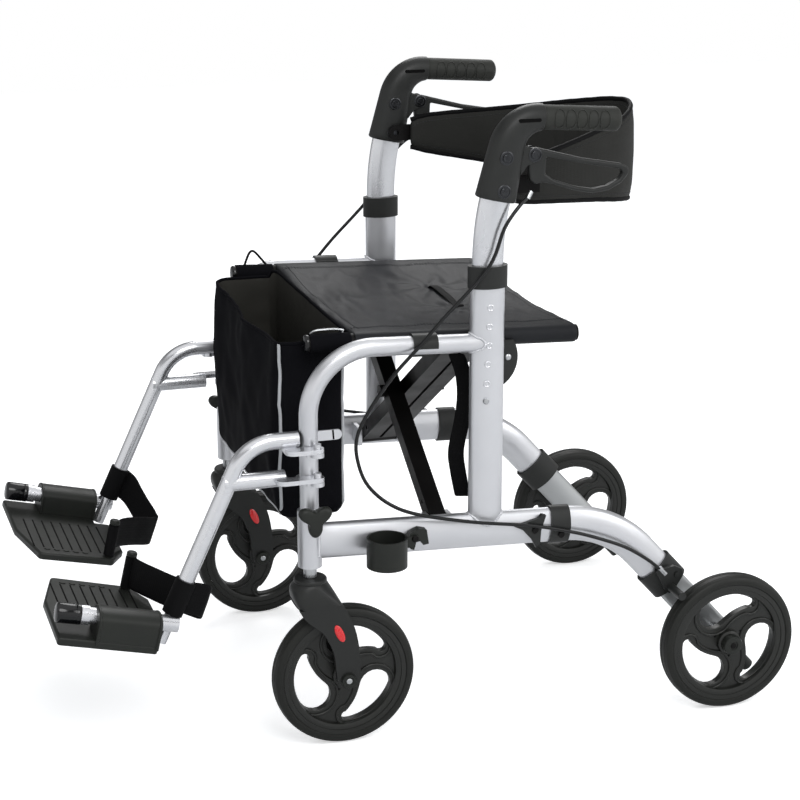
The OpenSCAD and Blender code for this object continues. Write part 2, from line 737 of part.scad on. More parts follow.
module hanger(s) {
    branch_start = hanger_start - 19;
    plate_y = [branch_start - 16, hanger_start - 22];
    color(silver) at_side(s) {
        hanger_sweep() ring(hanger_d, tube_wall);
        difference() {
            translate([0, branch_start, branch_z]) rotate([90, 0, 0])
                cylinder(d = hanger_d, h = branch_start - branch_end + 20);
            translate([0, hanger_corner_y, hanger_z]) rotate([90 + hanger_angle, 0, 0])
                cylinder(d = hanger_d - 2, h = hanger_leg + 40);
            translate([-30, branch_end - 26, branch_z - 40]) cube([60, 26, 80]);
        }
        // Hinge plates beside the post
        for (k = [0, 1])
            translate([0, 0, hinge_z[k] + free_gap]) difference() {
                hinge_plate(plate_y[k]);
                translate([hinge_x, hinge_y, -1]) cylinder(r = hinge_pin_r + run_gap, h = hinge_t + 2);
            }
    }
}

module foot_bar(s) {
    color("#d4d6d8") at_side(s) {
        translate([0, hanger_corner_y, hanger_z]) rotate([90 + hanger_angle, 0, 0])
            translate([0, 0, 150]) cylinder(d = hanger_d - 2 * tube_wall - 0.4, h = foot_along + 30 - 150);
        on_foot() {
            rotate([90, 0, 0]) translate([0, 0, -11]) cylinder(r = foot_bar_r, h = bar_len - 28);
            rotate([90, 0, 0]) translate([0, 0, bar_len - 42]) cylinder(r = foot_bar_r + 2, h = 40);
            rotate([90, 0, 0]) translate([0, 0, bar_len - 3]) cylinder(r = foot_bar_r, h = 3);
        }
    }
}

module footplate(s) {
    outer = 29;
    inner = -plate_w;
    color(black) at_side(s) on_foot() difference() {
        union() {
            translate([0, 0, -plate_drop - plate_t]) linear_extrude(plate_t)
                polygon([[outer, foot_sleeve[1]], [outer, -150], [inner + 98, -149], [inner + 2, -126],
                    [inner, -120], [inner + 5, -16], [inner + 50, 6], [-34, 6], [-34, foot_sleeve[1]]]);
            translate([-20, foot_sleeve[0], -plate_drop - 2]) cube([outer + 20, foot_sleeve[1] - foot_sleeve[0],
                plate_drop + 17]);
            // Post that takes the heel loop
            translate([inner + 18, -22, -plate_drop - 1]) cylinder(r = 5, h = 56);
        }
        rotate([90, 0, 0]) translate([0, 0, -20]) cylinder(r = foot_bar_r + run_gap, h = 160);
        // Room in front of the sleeve for the bar's cap
        rotate([90, 0, 0]) translate([0, 0, -foot_sleeve[0]]) cylinder(r = foot_bar_r + 3, h = 100);
    }
}

// Slack heel strap from the hanger round the back to the post on the plate
heel_left = [[0, 28.3, 29.8], [-2, 40, 26], [-12, 54, 16], [-30, 51, 8], [-90, 22, 5], [-145, -6, 6],
    [-170.4, -18.5, 8]];
// The right strap hangs lower
heel_right = [[0, 28.3, 29.8], [-8, 38, 20], [-30, 52, -8], [-54, 62, -26], [-68, 58, -27], [-110, 26, -9],
    [-150, -4, 6], [-170.4, -18.5, 8]];

module heel_loop(s) {
    heel_h = 46;
    path = [for (p = curve(s > 0 ? heel_left : heel_right, 4)) p + [0, foot_y, foot_z]];
    last = len(path) - 1;
    at_tube = [0, cos(hanger_angle), sin(hanger_angle)];
    at_plate = [0, sin(foot_tilt), cos(foot_tilt)];
    rings = [for (i = [0 : last])
        let (d = unit(path[min(i + 1, last)] - path[max(i - 1, 0)]),
            up = unit(at_tube * (1 - i / last) + at_plate * i / last),
            across = unit(cross(up, d)))
        strap_ring(path[i], across, up, 3, heel_h)];
    color(black) at_side(s) {
        skin(rings);
        translate([0, hanger_corner_y, hanger_z]) rotate([90 + hanger_angle, 0, 0])
            translate([0, 0, foot_along - 60]) linear_extrude(42) ring(hanger_d + 7, 3.4);
        on_foot() translate([-plate_w + 18, -22, -plate_drop + 2]) linear_extrude(46) ring(16, 3 - free_gap);
    }
}

// Backrest
module backrest_bracket(s) {
    color(black) at_side(s) translate([bracket_x - bracket_t, bracket_y, bracket_z]) rotate([90, 0, 90])
        linear_extrude(bracket_t) difference() {
            union() {
                translate([0, -12]) square([62, 24]);
                circle(12);
            }
            circle(bracket_pin_r + run_gap);
        }
}

// Saddles that take the seat bars, and the guard plate behind the post
module seat_saddle(s) {
    color(charcoal) at_side(s) {
        translate([0, saddle_y + saddle_len / 2, arm_z_at(saddle_y + saddle_len / 2)]) rotate([90 - slope, 0, 0])
            linear_extrude(saddle_len) difference() {
                union() {
                    circle(arm_d / 2 + 3.5);
                    translate([bar_off, 0]) circle(bar_d / 2 + 4.5);
                    translate([bar_off, -bar_d / 2 - 4.5]) square([-bar_off, bar_d + 4]);
                }
                circle(d = arm_d + 0.1);
                translate([bar_off, 0]) circle(bar_d / 2 + free_gap);
                translate([bar_off - 30, 1]) square([30 - bar_off - arm_d / 2 - 3, 40]);
                translate([0, -40]) square([40, 38]);
            }
        translate([-post_w / 2 - guard_t - free_gap, 0, guard_z]) rotate([90, 0, 90])
            linear_extrude(guard_t) difference() {
            intersection() {
                translate([-16, -36]) square([66, 72]);
                translate([4, 12]) circle(46);
            }
            translate([36, 12]) circle(3);
        }
    }
}

// Scissor brace with the seat bars welded to its tops
module seat_bar(side) {
    translate([side * bar_x, bar_rear, arm_z_at(bar_rear)]) rotate([90 - slope, 0, 0])
        linear_extrude((bar_rear - bar_front) / cos(slope)) ring(bar_d, tube_wall);
}

// Square steel tube with a drain hole; the wide member is two tubes side by side
module brace_member(side, y, w) {
    groove = w < 40 ? 0 : 5;
    tubes = groove > 0 ? 2 : 1;
    tube_w = (w - groove) / tubes;
    translate([side * bar_x, y, brace_pivot_z]) rotate([0, side > 0 ? 180 + brace_ang : -brace_ang, 0])
        difference() {
            translate([0, -w / 2, -brace_t / 2]) cube([brace_len - 8, w, brace_t]);
            for (k = [0 : tubes - 1]) {
                translate([16, -w / 2 + k * (w - tube_w) + tube_wall, -brace_t / 2 + tube_wall])
                    cube([brace_len - 34, tube_w - 2 * tube_wall, brace_t - 2 * tube_wall]);
                translate([40, k > 0 ? w / 2 - tube_wall - 1 : -w / 2 - 1, 0]) rotate([-90, 0, 0])
                    cylinder(r = 3, h = tube_wall + 2);
            }
            if (groove > 0)
                for (z = [-brace_t / 2 - 1, brace_t / 2 - 4])
                    translate([14, -groove / 2, z]) cube([brace_len - 30, groove, 5]);
        }
    translate([side * bar_x, y, brace_pivot_z]) rotate([90, 0, 0]) cylinder(r = 13, h = w + 1, center = true);
}

module brace_hole(side, y, w) {
    translate([side * bar_x, y, brace_pivot_z]) rotate([90, 0, 0])
        cylinder(r = brace_pin_r + run_gap, h = w + 4, center = true);
    translate([-side * bar_x, y, arm_z_at(y)]) rotate([90 - slope, 0, 0])
        cylinder(d = bar_d - tube_wall, h = w + 40, center = true);
}

module brace_a() {
    pin_len = brace_a_w + brace_b_w + 14;
    color(black) in_middle() {
        difference() {
            brace_member(1, brace_a_y, brace_a_w);
            brace_hole(1, brace_a_y, brace_a_w);
        }
        seat_bar(-1);
        translate([0, brace_a_y - brace_a_w / 2 - 8, brace_mid_z]) rotate([-90, 0, 0]) {
            cylinder(r = brace_pin_r, h = pin_len + 4);
            cylinder(r = 9, h = 9);
        }
    }
}

module brace_b() {
    color(black) in_middle() {
        difference() {
            brace_member(-1, brace_b_y, brace_b_w);
            brace_hole(-1, brace_b_y, brace_b_w);
            translate([0, brace_b_y, brace_mid_z]) rotate([90, 0, 0])
                cylinder(r = brace_pin_r + run_gap, h = brace_b_w + 4, center = true);
        }
        seat_bar(1);
    }
}

// Sling seat: sagging cloth with a sleeve round each bar
module seat() {
    steps = 24;
    half = bar_x;
    lift = bar_d / 2 + free_gap + 0.2;
    function sag(u) = lift - seat_sag * (1 - u * u);
    top = [for (k = [-steps : steps]) [half * k / steps, sag(k / steps) + 2.4]];
    low = [for (k = [steps : -1 : -steps]) [half * k / steps, sag(k / steps)]];
    color(black) in_middle() {
        translate([0, 0, arm_z_at(0)]) rotate([90 - slope, 0, 0]) translate([0, 0, -seat_rear])
            linear_extrude(seat_rear + seat_front) polygon(concat(top, low));
        difference() {
            translate([0, 0, arm_z_at(0)]) rotate([90 - slope, 0, 0]) translate([0, 0, -seat_rear])
                for (x = [-bar_x, bar_x])
                    translate([x, 0, 0]) linear_extrude(seat_rear + seat_front)
                        ring(2 * sleeve_r, sleeve_r - bar_d / 2 - free_gap);
            // Notches in the sleeves for the saddles and the tops of the brace
            for (x = [-1, 1])
                translate([x * bar_x - 30, saddle_y - saddle_len / 2 - 2, arm_z_at(saddle_y) - 40])
                    cube([60, saddle_len + 4, 42 + bar_d / 2]);
            translate([-bar_x - 30, brace_a_y - brace_a_w / 2 - 1, arm_z_at(brace_a_y) - 40])
                cube([60, brace_a_w + 2, 42 + bar_d / 2 - 2]);
            translate([bar_x - 30, brace_b_y - brace_b_w / 2 - 1, arm_z_at(brace_b_y) - 40])
                cube([60, brace_b_w + 2, 42 + bar_d / 2 - 2]);
        }
    }
}

// Bag: open box with rounded corners that hangs on the bars in front of the seat
bag_front = front_y - 26;
bag_top = arm_z_at(front_y) - 4;
function bag_ring(z, inset, drop) = [for (q = [0 : 3], k = [0 : 7])
    let (a = 90 * q + 90 * k / 7, r = 24 - inset,
        hw = bar_x - 13.4 - inset - drop, hd = bag_depth / 2 - inset + drop * 0.6,
        sx = (q == 0 || q == 3) ? 1 : -1, sy = (q < 2) ? 1 : -1)
    [sx * (hw - r) + r * cos(a), bag_front + bag_depth / 2 + sy * (hd - r) + r * sin(a), z]];

module bag() {
    outer = [for (k = [0 : 5]) bag_ring(bag_top - bag_h + bag_h * k / 5, 0, 7 * sin(180 * k / 5))];
    inner = [for (k = [5 : -1 : 0])
        bag_ring(bag_top - bag_h + bag_wall + (bag_h - bag_wall) * k / 5, bag_wall, 7 * sin(180 * k / 5))];
    hang = -bar_front - seat_front - 14;
    color(black) in_middle() {
        skin(concat(outer, inner));
        // Sleeves on the bars, with the tabs that carry the bag
        for (s = [-1, 1]) {
            translate([s * bar_x, 0, arm_z_at(0)]) rotate([90 - slope, 0, 0]) translate([0, 0, seat_front + 5])
                linear_extrude(hang) ring(2 * sleeve_r, sleeve_r - bar_d / 2 - free_gap);
            translate([s * (bar_x - 15.4) - 3.4, bar_front + 16, bag_top - 20]) cube([6.8, hang - 12, 18]);
        }
    }
}

// Backrest: padded band that sweeps back between the handles, tallest in the middle
back_end_y = bracket_y + 20;
back_half = half_w + bracket_x - bracket_t - back_t / 2 - free_gap;
back_end_h = 20;
// Half of the band's line: share of the half width and of the sweep, from an end to the middle
back_shape = [[1, 0], [0.97, 0.09], [0.81, 0.34], [0.61, 0.6], [0.44, 0.81], [0.22, 0.95]];
function back_at(side, p) = [side * back_half * p[0], back_end_y + back_sweep * p[1], bracket_z];
back_line = concat([for (p = back_shape) back_at(1, p)], [back_at(0, [0, 1])],
    [for (k = [len(back_shape) - 1 : -1 : 0]) back_at(-1, back_shape[k])]);

module backrest() {
    path = curve(back_line, 3);
    last = len(path) - 1;
    rings = [for (i = [0 : last])
        let (d = unit(path[min(i + 1, last)] - path[max(i - 1, 0)]), across = [-d.y, d.x, 0],
            h = back_end_h + (back_h / 2 - back_end_h) * (1 - abs(2 * i / last - 1)))
        [for (k = [0 : 11]) path[i] + across * back_t / 2 * sign(cos(30 * k)) * pow(abs(cos(30 * k)), 0.6)
            + [0, 0, h * sign(sin(30 * k)) * pow(abs(sin(30 * k)), 0.6)]]];
    color(black) in_middle() skin(rings);
}

// Cane cup beside the left rail, on the clip that is bolted to the rail behind it
cup_y = -154;
cup_x = oval_w / 2 + cup_r + cup_wall + 3;
cup_z = rail_z(cup_y) + 14 - cup_depth;
clip_y = cup_y + cup_r + 20;

module cane_holder() {
    clip_t = 12;
    clip_x = oval_w / 2 + run_gap;
    color(black) at_side(1) {
        difference() {
            union() {
                translate([cup_x, cup_y, cup_z - cup_wall])
                    cylinder(r = cup_r + cup_wall, h = cup_depth + cup_wall);
                translate([clip_x, cup_y + 8, rail_z(clip_y) - 9]) cube([clip_t + 2, clip_y - cup_y - 8, 16]);
            }
            translate([cup_x, cup_y, cup_z]) cylinder(r = cup_r, h = cup_depth + 1);
        }
        translate([clip_x, clip_y, rail_z(clip_y) + 3]) rotate([0, 90, 0]) rotate(90) {
            linear_extrude(clip_t) polygon([[-12, -2], [-6, 8], [6, 13], [17, 10], [20, -10], [12, -11], [8, -5],
                [2, -6], [-1, -17], [-6, -15], [-9, -6]]);
            translate([0, 0, clip_t - 1]) cylinder(r = 5, h = 3);
        }
    }
}

side_rail(1);  // side_rail_left
side_rail(-1);  // side_rail_right
post(1);  // post_left
post(-1);  // post_right
arm(1);  // arm_left
arm(-1);  // arm_right
rear_leg(1);  // rear_leg_left
rear_leg(-1);  // rear_leg_right
frame_fittings(1);  // frame_fittings_left
frame_fittings(-1);  // frame_fittings_right
clamp_knob(1);  // clamp_knob_left
clamp_knob(-1);  // clamp_knob_right
stem_bearing(1);  // stem_bearing_left
stem_bearing(-1);  // stem_bearing_right
caster_fork(1);  // caster_fork_left
caster_fork(-1);  // caster_fork_right
caster_bolts(1);  // caster_bolts_left
caster_bolts(-1);  // caster_bolts_right
caster_rim(1);  // caster_rim_left
caster_rim(-1);  // caster_rim_right
caster_tyre(1);  // caster_tyre_left
caster_tyre(-1);  // caster_tyre_right
rear_rim(1);  // rear_rim_left
rear_rim(-1);  // rear_rim_right
rear_tyre(1);  // rear_tyre_left
rear_tyre(-1);  // rear_tyre_right
rear_axle(1);  // rear_axle_left
rear_axle(-1);  // rear_axle_right
brake_arm(1);  // brake_arm_left
brake_arm(-1);  // brake_arm_right
handle_tube(1);  // handle_tube_left
handle_tube(-1);  // handle_tube_right
handle(1);  // handle_left
handle(-1);  // handle_right
grip(1);  // grip_left
grip(-1);  // grip_right
brake_lever(1);  // brake_lever_left
brake_lever(-1);  // brake_lever_right
brake_cable(1);  // brake_cable_left
brake_cable(-1);  // brake_cable_right
hanger(1);  // hanger_left
hanger(-1);  // hanger_right
foot_bar(1);  // foot_bar_left
foot_bar(-1);  // foot_bar_right
footplate(1);  // footplate_left
footplate(-1);  // footplate_right
heel_loop(1);  // heel_loop_left
heel_loop(-1);  // heel_loop_right
backrest_bracket(1);  // backrest_bracket_left
backrest_bracket(-1);  // backrest_bracket_right
seat_saddle(1);  // seat_saddle_left
seat_saddle(-1);  // seat_saddle_right
brace_a();
brace_b();
seat();
bag();
backrest();
cane_holder();
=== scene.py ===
import math
import bpy
import bmesh
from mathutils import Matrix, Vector, noise
from mathutils.geometry import delaunay_2d_cdt


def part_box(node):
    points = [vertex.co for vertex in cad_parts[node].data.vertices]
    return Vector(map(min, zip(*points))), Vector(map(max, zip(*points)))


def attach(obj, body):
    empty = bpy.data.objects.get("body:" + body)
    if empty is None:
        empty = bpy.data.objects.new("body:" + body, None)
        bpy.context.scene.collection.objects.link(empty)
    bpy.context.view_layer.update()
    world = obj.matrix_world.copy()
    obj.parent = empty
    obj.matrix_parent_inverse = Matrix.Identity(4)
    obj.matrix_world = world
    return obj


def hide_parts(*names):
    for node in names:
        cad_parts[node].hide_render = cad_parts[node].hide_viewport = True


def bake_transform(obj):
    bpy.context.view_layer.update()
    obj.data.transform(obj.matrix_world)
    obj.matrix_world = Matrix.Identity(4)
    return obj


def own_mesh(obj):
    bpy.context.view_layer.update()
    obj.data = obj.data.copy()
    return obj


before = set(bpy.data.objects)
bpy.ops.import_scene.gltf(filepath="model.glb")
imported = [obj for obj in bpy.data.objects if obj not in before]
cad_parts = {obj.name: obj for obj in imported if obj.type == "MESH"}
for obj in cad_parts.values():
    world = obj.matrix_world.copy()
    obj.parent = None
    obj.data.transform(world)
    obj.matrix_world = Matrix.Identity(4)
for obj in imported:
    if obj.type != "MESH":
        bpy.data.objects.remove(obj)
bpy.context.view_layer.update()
noise.seed_set(7)

# places taken from the CAD frame, kept in millimetres from the foot of a handle post
sides = (("left", 1), ("right", -1))


def boxCentre(node):
    low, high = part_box(node)
    return [(a + b) / 2 for a, b in zip(low, high)]


def toMm(metres):
    return metres * 1000


sideX, postY = boxCentre("post_left")[:2]
rearCentre = boxCentre("rear_tyre_left")
casterCentre = boxCentre("caster_tyre_left")
wheelR = toMm(rearCentre[2])
axleY = toMm(rearCentre[1] - postY)
casterY = toMm(casterCentre[1] - postY)
rearTrack = toMm(rearCentre[0] - sideX)

# main lines of the frame as the part's source draws them, in millimetres and degrees
chassis = {"slope": 2.2, "frontY": -249, "railFront": 297, "armAtPost": 553.5, "legAngle": 48, "footTilt": 13,
           "footPivot": (8, -444.3, 205.45), "seatBarX": 212}
slope, legAngle, footTilt = (math.radians(chassis[key]) for key in ("slope", "legAngle", "footTilt"))
frontY, footPivot, seatBarX = chassis["frontY"], chassis["footPivot"], chassis["seatBarX"]
barBody = {"left": "rear_brace", "right": "front_brace"}


def railZ(y):
    return chassis["railFront"] - (y - frontY) * math.tan(slope)


def armZ(y):
    return chassis["armAtPost"] - y * math.tan(slope)


def middle(x, y, z):
    return Vector((x / 1000, postY + y / 1000, z / 1000))


def atSide(sign, x, y, z):
    return Vector((sign * (sideX + x / 1000), postY + y / 1000, z / 1000))


# along the rear leg from its axle, and across it
def onLeg(sign, x, along, across):
    y = axleY - along * math.cos(legAngle) + across * math.sin(legAngle)
    return atSide(sign, x, y, wheelR + along * math.sin(legAngle) + across * math.cos(legAngle))


def onFoot(sign, x, y, z):
    turned = (y * math.cos(footTilt) + z * math.sin(footTilt), z * math.cos(footTilt) - y * math.sin(footTilt))
    return atSide(sign, footPivot[0] + x, footPivot[1] + turned[0], footPivot[2] + turned[1])


# where a flat outline (u, v) goes at level w: in a side's own plane, lying on the footplate, or standing across it
def sidePlane(sign):
    return lambda u, v, w: atSide(sign, w, u, v)


def platePlane(sign):
    return lambda u, v, w: onFoot(sign, u, v, w)


def housingPlane(sign):
    return lambda u, v, w: onFoot(sign, u, w, v)


def addObject(name, data):
    made = bpy.data.objects.new(name, data)
    bpy.context.scene.collection.objects.link(made)
    return made


def aim(thing, way):
    thing.rotation_euler = way.to_track_quat("-Z", "Y").to_euler()


# camera at the photograph's place
camera = {"place": (2.8231, -0.85746, 1.2913), "azimuth": 72.66, "down": 16.5, "focalPixels": 2112.5,
          "framePixels": 800, "middlePixel": (397.57, 394.51), "sensorMm": 36}
lens = bpy.data.cameras.new("camera")
eye = addObject("camera", lens)
eye.location = camera["place"]
azimuth, down = math.radians(camera["azimuth"]), math.radians(camera["down"])
aim(eye, Vector((-math.sin(azimuth) * math.cos(down), math.cos(azimuth) * math.cos(down), -math.sin(down))))
lens.sensor_width = camera["sensorMm"]
lens.lens = lens.sensor_width * camera["focalPixels"] / camera["framePixels"]
lens.shift_x = 0.5 - camera["middlePixel"][0] / camera["framePixels"]
lens.shift_y = camera["middlePixel"][1] / camera["framePixels"] - 0.5
bpy.context.scene.camera = eye
print("camera set")


# one node with its settings, values and links, in a shader or a geometry tree
def addNode(tree, kind, inputs=None, **settings):
    node = tree.nodes.new(kind)
    for key, value in settings.items():
        setattr(node, key, value)
    for key, value in (inputs or {}).items():
        if isinstance(value, bpy.types.NodeSocket):
            tree.links.new(value, node.inputs[key])
        else:
            node.inputs[key].default_value = value
    return node


def colour(hexText):
    parts = [int(hexText[i:i + 2], 16) / 255 for i in (1, 3, 5)]
    return [c / 12.92 if c <= 0.04045 else ((c + 0.055) / 1.055) ** 2.4 for c in parts] + [1]


def startMaterial(name, hexText, metallic, roughness, specular=0.5):
    material = bpy.data.materials.new(name)
    material.use_nodes = True
    shader = material.node_tree.nodes["Principled BSDF"]
    shader.inputs["Base Color"].default_value = colour(hexText)
    shader.inputs["Metallic"].default_value = metallic
    shader.inputs["Roughness"].default_value = roughness
    shader.inputs["Specular IOR Level"].default_value = specular
    material.diffuse_color = colour(hexText)
    return material, material.node_tree, shader


# slow drift of the tone between two shades
def addDrift(tree, shader, place, driftMm, detail, pale, dark):
    drift = addNode(tree, "ShaderNodeTexNoise", {"Vector": place, "Scale": 1000 / driftMm, "Detail": detail})
    tone = addNode(tree, "ShaderNodeMix", {"Factor": drift.outputs["Fac"], 6: colour(dark), 7: colour(pale)},
                   data_type="RGBA")
    tree.links.new(tone.outputs[2], shader.inputs["Base Color"])
    return drift.outputs["Fac"]


# grain, colour drift and roughness drift that most finishes share: sizes in millimetres
def addGrain(tree, shader, grainMm, depthMm, driftMm, pale, dark, rough):
    place = addNode(tree, "ShaderNodeTexCoord").outputs["Object"]
    fine = addNode(tree, "ShaderNodeTexNoise", {"Vector": place, "Scale": 1000 / grainMm, "Detail": 3.0})
    bump = addNode(tree, "ShaderNodeBump", {"Height": fine.outputs["Fac"], "Strength": 0.6, "Distance": depthMm / 1000})
    tree.links.new(bump.outputs["Normal"], shader.inputs["Normal"])
    drift = addDrift(tree, shader, place, driftMm, 4.0, pale, dark)
    spread = addNode(tree, "ShaderNodeMapRange", {"Value": drift, "From Min": 0.3, "From Max": 0.7,
                                                  "To Min": rough[0], "To Max": rough[1]})
    tree.links.new(spread.outputs["Result"], shader.inputs["Roughness"])


# anodised aluminium tube: silky, pale, with a faint soft drift in the sheen
satinAluminium, tree, shader = startMaterial("anodisedAluminium", "#CCCDD0", 0.85, 0.36)
addGrain(tree, shader, 1.2, 0.02, 70, "#D2D3D6", "#C3C4C8", (0.32, 0.42))

# grey anodised lower leg: the same silk, a third darker
greyAluminium, tree, shader = startMaterial("greyAnodisedAluminium", "#A6A8A9", 0.8, 0.42)
addGrain(tree, shader, 1.2, 0.02, 60, "#AEB0B1", "#9C9E9F", (0.38, 0.48))

# clear-polished tube of the hangers and handle posts: nearly white with a tight highlight
brightTube, tree, shader = startMaterial("polishedAluminium", "#D0D1D4", 0.85, 0.24)
addGrain(tree, shader, 1.5, 0.012, 80, "#D6D7DA", "#C8C9CD", (0.2, 0.3))

# zinc plated steel of hinge plates, pins and bolts: bright with cloudy patches
platedSteel, tree, shader = startMaterial("zincPlatedSteel", "#B4B6B8", 1.0, 0.28)
addGrain(tree, shader, 0.8, 0.015, 14, "#C2C4C6", "#9B9D9F", (0.2, 0.38))

# blackened bolt heads: dark with a hard highlight
blackenedSteel, tree, shader = startMaterial("blackenedSteel", "#3C3D3E", 1.0, 0.3)
addGrain(tree, shader, 0.8, 0.015, 12, "#46474A", "#303132", (0.22, 0.4))

# powder coated steel of the brace: black with orange peel
coatedSteel, tree, shader = startMaterial("powderCoatedSteel", "#121111", 0.0, 0.42, 0.1)
addGrain(tree, shader, 2.2, 0.04, 50, "#151414", "#0E0D0D", (0.36, 0.5))

# moulded glass-filled nylon: charcoal with a spark-eroded grain
charcoalNylon, tree, shader = startMaterial("mouldedNylon", "#212221", 0.0, 0.42, 0.28)
addGrain(tree, shader, 0.9, 0.05, 45, "#252625", "#1D1E1D", (0.36, 0.48))

# moulded ABS: black, a touch duller than the nylon
blackPlastic, tree, shader = startMaterial("mouldedAbs", "#20221F", 0.0, 0.44, 0.25)
addGrain(tree, shader, 1.0, 0.03, 50, "#242622", "#1B1D1B", (0.38, 0.5))

# gloss polypropylene of caps and plugs
glossPlastic, tree, shader = startMaterial("glossPolypropylene", "#0B0C0E", 0.0, 0.14, 0.4)

# wheel moulding: dark olive-black polypropylene, dry sheen
wheelPlastic, tree, shader = startMaterial("mouldedPolypropylene", "#1B1C1A", 0.0, 0.34, 0.35)
addGrain(tree, shader, 0.9, 0.04, 40, "#1F201D", "#181917", (0.28, 0.42))

# soft PVC tyre: matt, with a trace of dust in its drift
tyreRubber, tree, shader = startMaterial("softPvcTyre", "#191A18", 0.0, 0.5, 0.25)
addGrain(tree, shader, 1.1, 0.07, 35, "#1D1E1B", "#161715", (0.42, 0.58))

# thermoplastic rubber of the grips: matt with a fine stipple
gripRubber, tree, shader = startMaterial("gripRubber", "#282926", 0.0, 0.6, 0.25)
addGrain(tree, shader, 0.7, 0.06, 30, "#2D2E2A", "#232422", (0.54, 0.68))

# PVC sheath of the brake cables: smooth and semi-gloss
cableSheath, tree, shader = startMaterial("pvcCableSheath", "#0E0F10", 0.0, 0.3, 0.3)

# acrylic reflector: clear red with a coat
redAcrylic, tree, shader = startMaterial("redAcrylic", "#D4141A", 0.0, 0.18)
shader.inputs["Coat Weight"].default_value = 0.6

# painted shade: near-black that stands in for the shade inside slots and recesses
paintedRecessShade, tree, shader = startMaterial("recessShadow", "#050505", 0.0, 0.8, 0.1)


# woven cloth on the piece's UV map in millimetres; threads are drawn at twice their real spacing so that they show
weave = {"band": 0.314, "wander": 0.4, "driftMm": 55, "driftDetail": 5.0, "bump": 0.5}


# a wave texture repeats after its band divided by its scale
def weaveMaterial(name, pale, dark, threadMm, roughness, specular, depthMm):
    material, tree, shader = startMaterial(name, pale, 0.0, roughness, specular)
    uv = addNode(tree, "ShaderNodeTexCoord").outputs["UV"]
    scale = 1 / (threadMm * 2) * weave["band"]
    waves = [addNode(tree, "ShaderNodeTexWave", {"Vector": uv, "Scale": scale, "Distortion": weave["wander"]},
                     bands_direction=axis).outputs["Fac"] for axis in ("X", "Y")]
    height = addNode(tree, "ShaderNodeMath", {0: waves[0], 1: waves[1]}, operation="MAXIMUM")
    place = addNode(tree, "ShaderNodeTexCoord").outputs["Object"]
    addDrift(tree, shader, place, weave["driftMm"], weave["driftDetail"], pale, dark)
    bump = addNode(tree, "ShaderNodeBump", {"Height": height.outputs[0], "Strength": weave["bump"],
                                            "Distance": depthMm / 1000})
    tree.links.new(bump.outputs["Normal"], shader.inputs["Normal"])
    return material


# seat: tight weave with a soft gloss
coatedNylon = weaveMaterial("coatedNylonCloth", "#232427", "#1A1B1D", 1.1, 0.46, 0.12, 0.12)
# bag: the same cloth without its coat, nearly black
bagNylon = weaveMaterial("plainNylonCloth", "#161619", "#0F0F11", 1.1, 0.62, 0.006, 0.1)
# lining of the bag: a little paler and browner
bagLining = weaveMaterial("polyesterLining", "#3A3935", "#2F2E2B", 1.1, 0.6, 0.08, 0.08)
# backrest: duller and coarser
padCloth = weaveMaterial("paddedPolyester", "#2A2A28", "#222220", 1.4, 0.6, 0.1, 0.16)
# straps: ribbed weave
webbing = weaveMaterial("nylonWebbing", "#101011", "#0A0A0B", 2.0, 0.58, 0.06, 0.3)
# grey edging of the bag
piping = weaveMaterial("reflectivePiping", "#BDBFC1", "#A2A4A7", 1.2, 0.35, 0.4, 0.08)
# sewing thread, a shade paler than the cloth
thread = startMaterial("polyesterThread", "#2C2D30", 0.0, 0.5, 0.2)[0]
print("materials made")


def turns(count):
    return [2 * math.pi * k / count for k in range(count)]


# a cosine or sine pushed towards a square by a power below one
def squared(value, power):
    return math.copysign(abs(value) ** power, value)


# shapes are (points, faces) in metres until a piece is made of them
def merge(*shapes):
    points, faces = [], []
    for shapePoints, shapeFaces in shapes:
        faces += [[i + len(points) for i in face] for face in shapeFaces]
        points = points + list(shapePoints)
    return points, faces


# a shape made at the origin, with each point sent to its place in millimetres
def sent(shape, place):
    return [place(p.x * 1000, p.y * 1000, p.z * 1000) for p in shape[0]], shape[1]


def loft(rings, capped=True, closed=False):
    n, m = len(rings[0]), len(rings)
    faces = []
    for k in range(m if closed else m - 1):
        for i in range(n):
            j, up = (i + 1) % n, (k + 1) % m
            faces.append([k * n + i, k * n + j, up * n + j, up * n + i])
    if capped and not closed:
        faces += [list(range(n))[::-1], [(m - 1) * n + i for i in range(n)]]
    return [p for ring in rings for p in ring], faces


def tube(path, radiusMm, count=12, closed=False):
    rings, up = [], None
    for i, p in enumerate(path):
        before = path[i - 1] if i or closed else path[0]
        after = path[(i + 1) % len(path)] if i < len(path) - 1 or closed else path[-1]
        d = (after - before).normalized()
        up = up or (Vector((1, 0, 0)) if abs(d.x) < 0.9 else Vector((0, 0, 1)))
        up = (up - d * up.dot(d)).normalized()
        across = d.cross(up)
        rings.append([p + radiusMm / 1000 * (math.cos(a) * up + math.sin(a) * across) for a in turns(count)])
    return loft(rings, closed=closed)


# profile of (radius, along) in millimetres turned about an axis; a closed profile makes a ring
def lathe(profile, centre, axis, steps=64, closed=False):
    axis = Vector(axis).normalized()
    up = Vector((0, 0, 1)) if abs(axis.z) < 0.9 else Vector((0, 1, 0))
    up = (up - axis * up.dot(axis)).normalized()
    across = axis.cross(up)
    rings = []
    for r, along in profile:
        level = centre + axis * (along / 1000)
        rings.append([level + (math.cos(a) * up + math.sin(a) * across) * (r / 1000) for a in turns(steps)])
    return loft(rings, capped=not closed, closed=closed)


# a profile turned upright at the origin
def turned(profile, steps):
    return lathe(profile, Vector((0, 0, 0)), (0, 0, 1), steps)


def inside(point, outline):
    hit = False
    for (x0, y0), (x1, y1) in zip(outline, outline[1:] + outline[:1]):
        if (y0 > point[1]) != (y1 > point[1]) and point[0] < x0 + (point[1] - y0) / (y1 - y0) * (x1 - x0):
            hit = not hit
    return hit


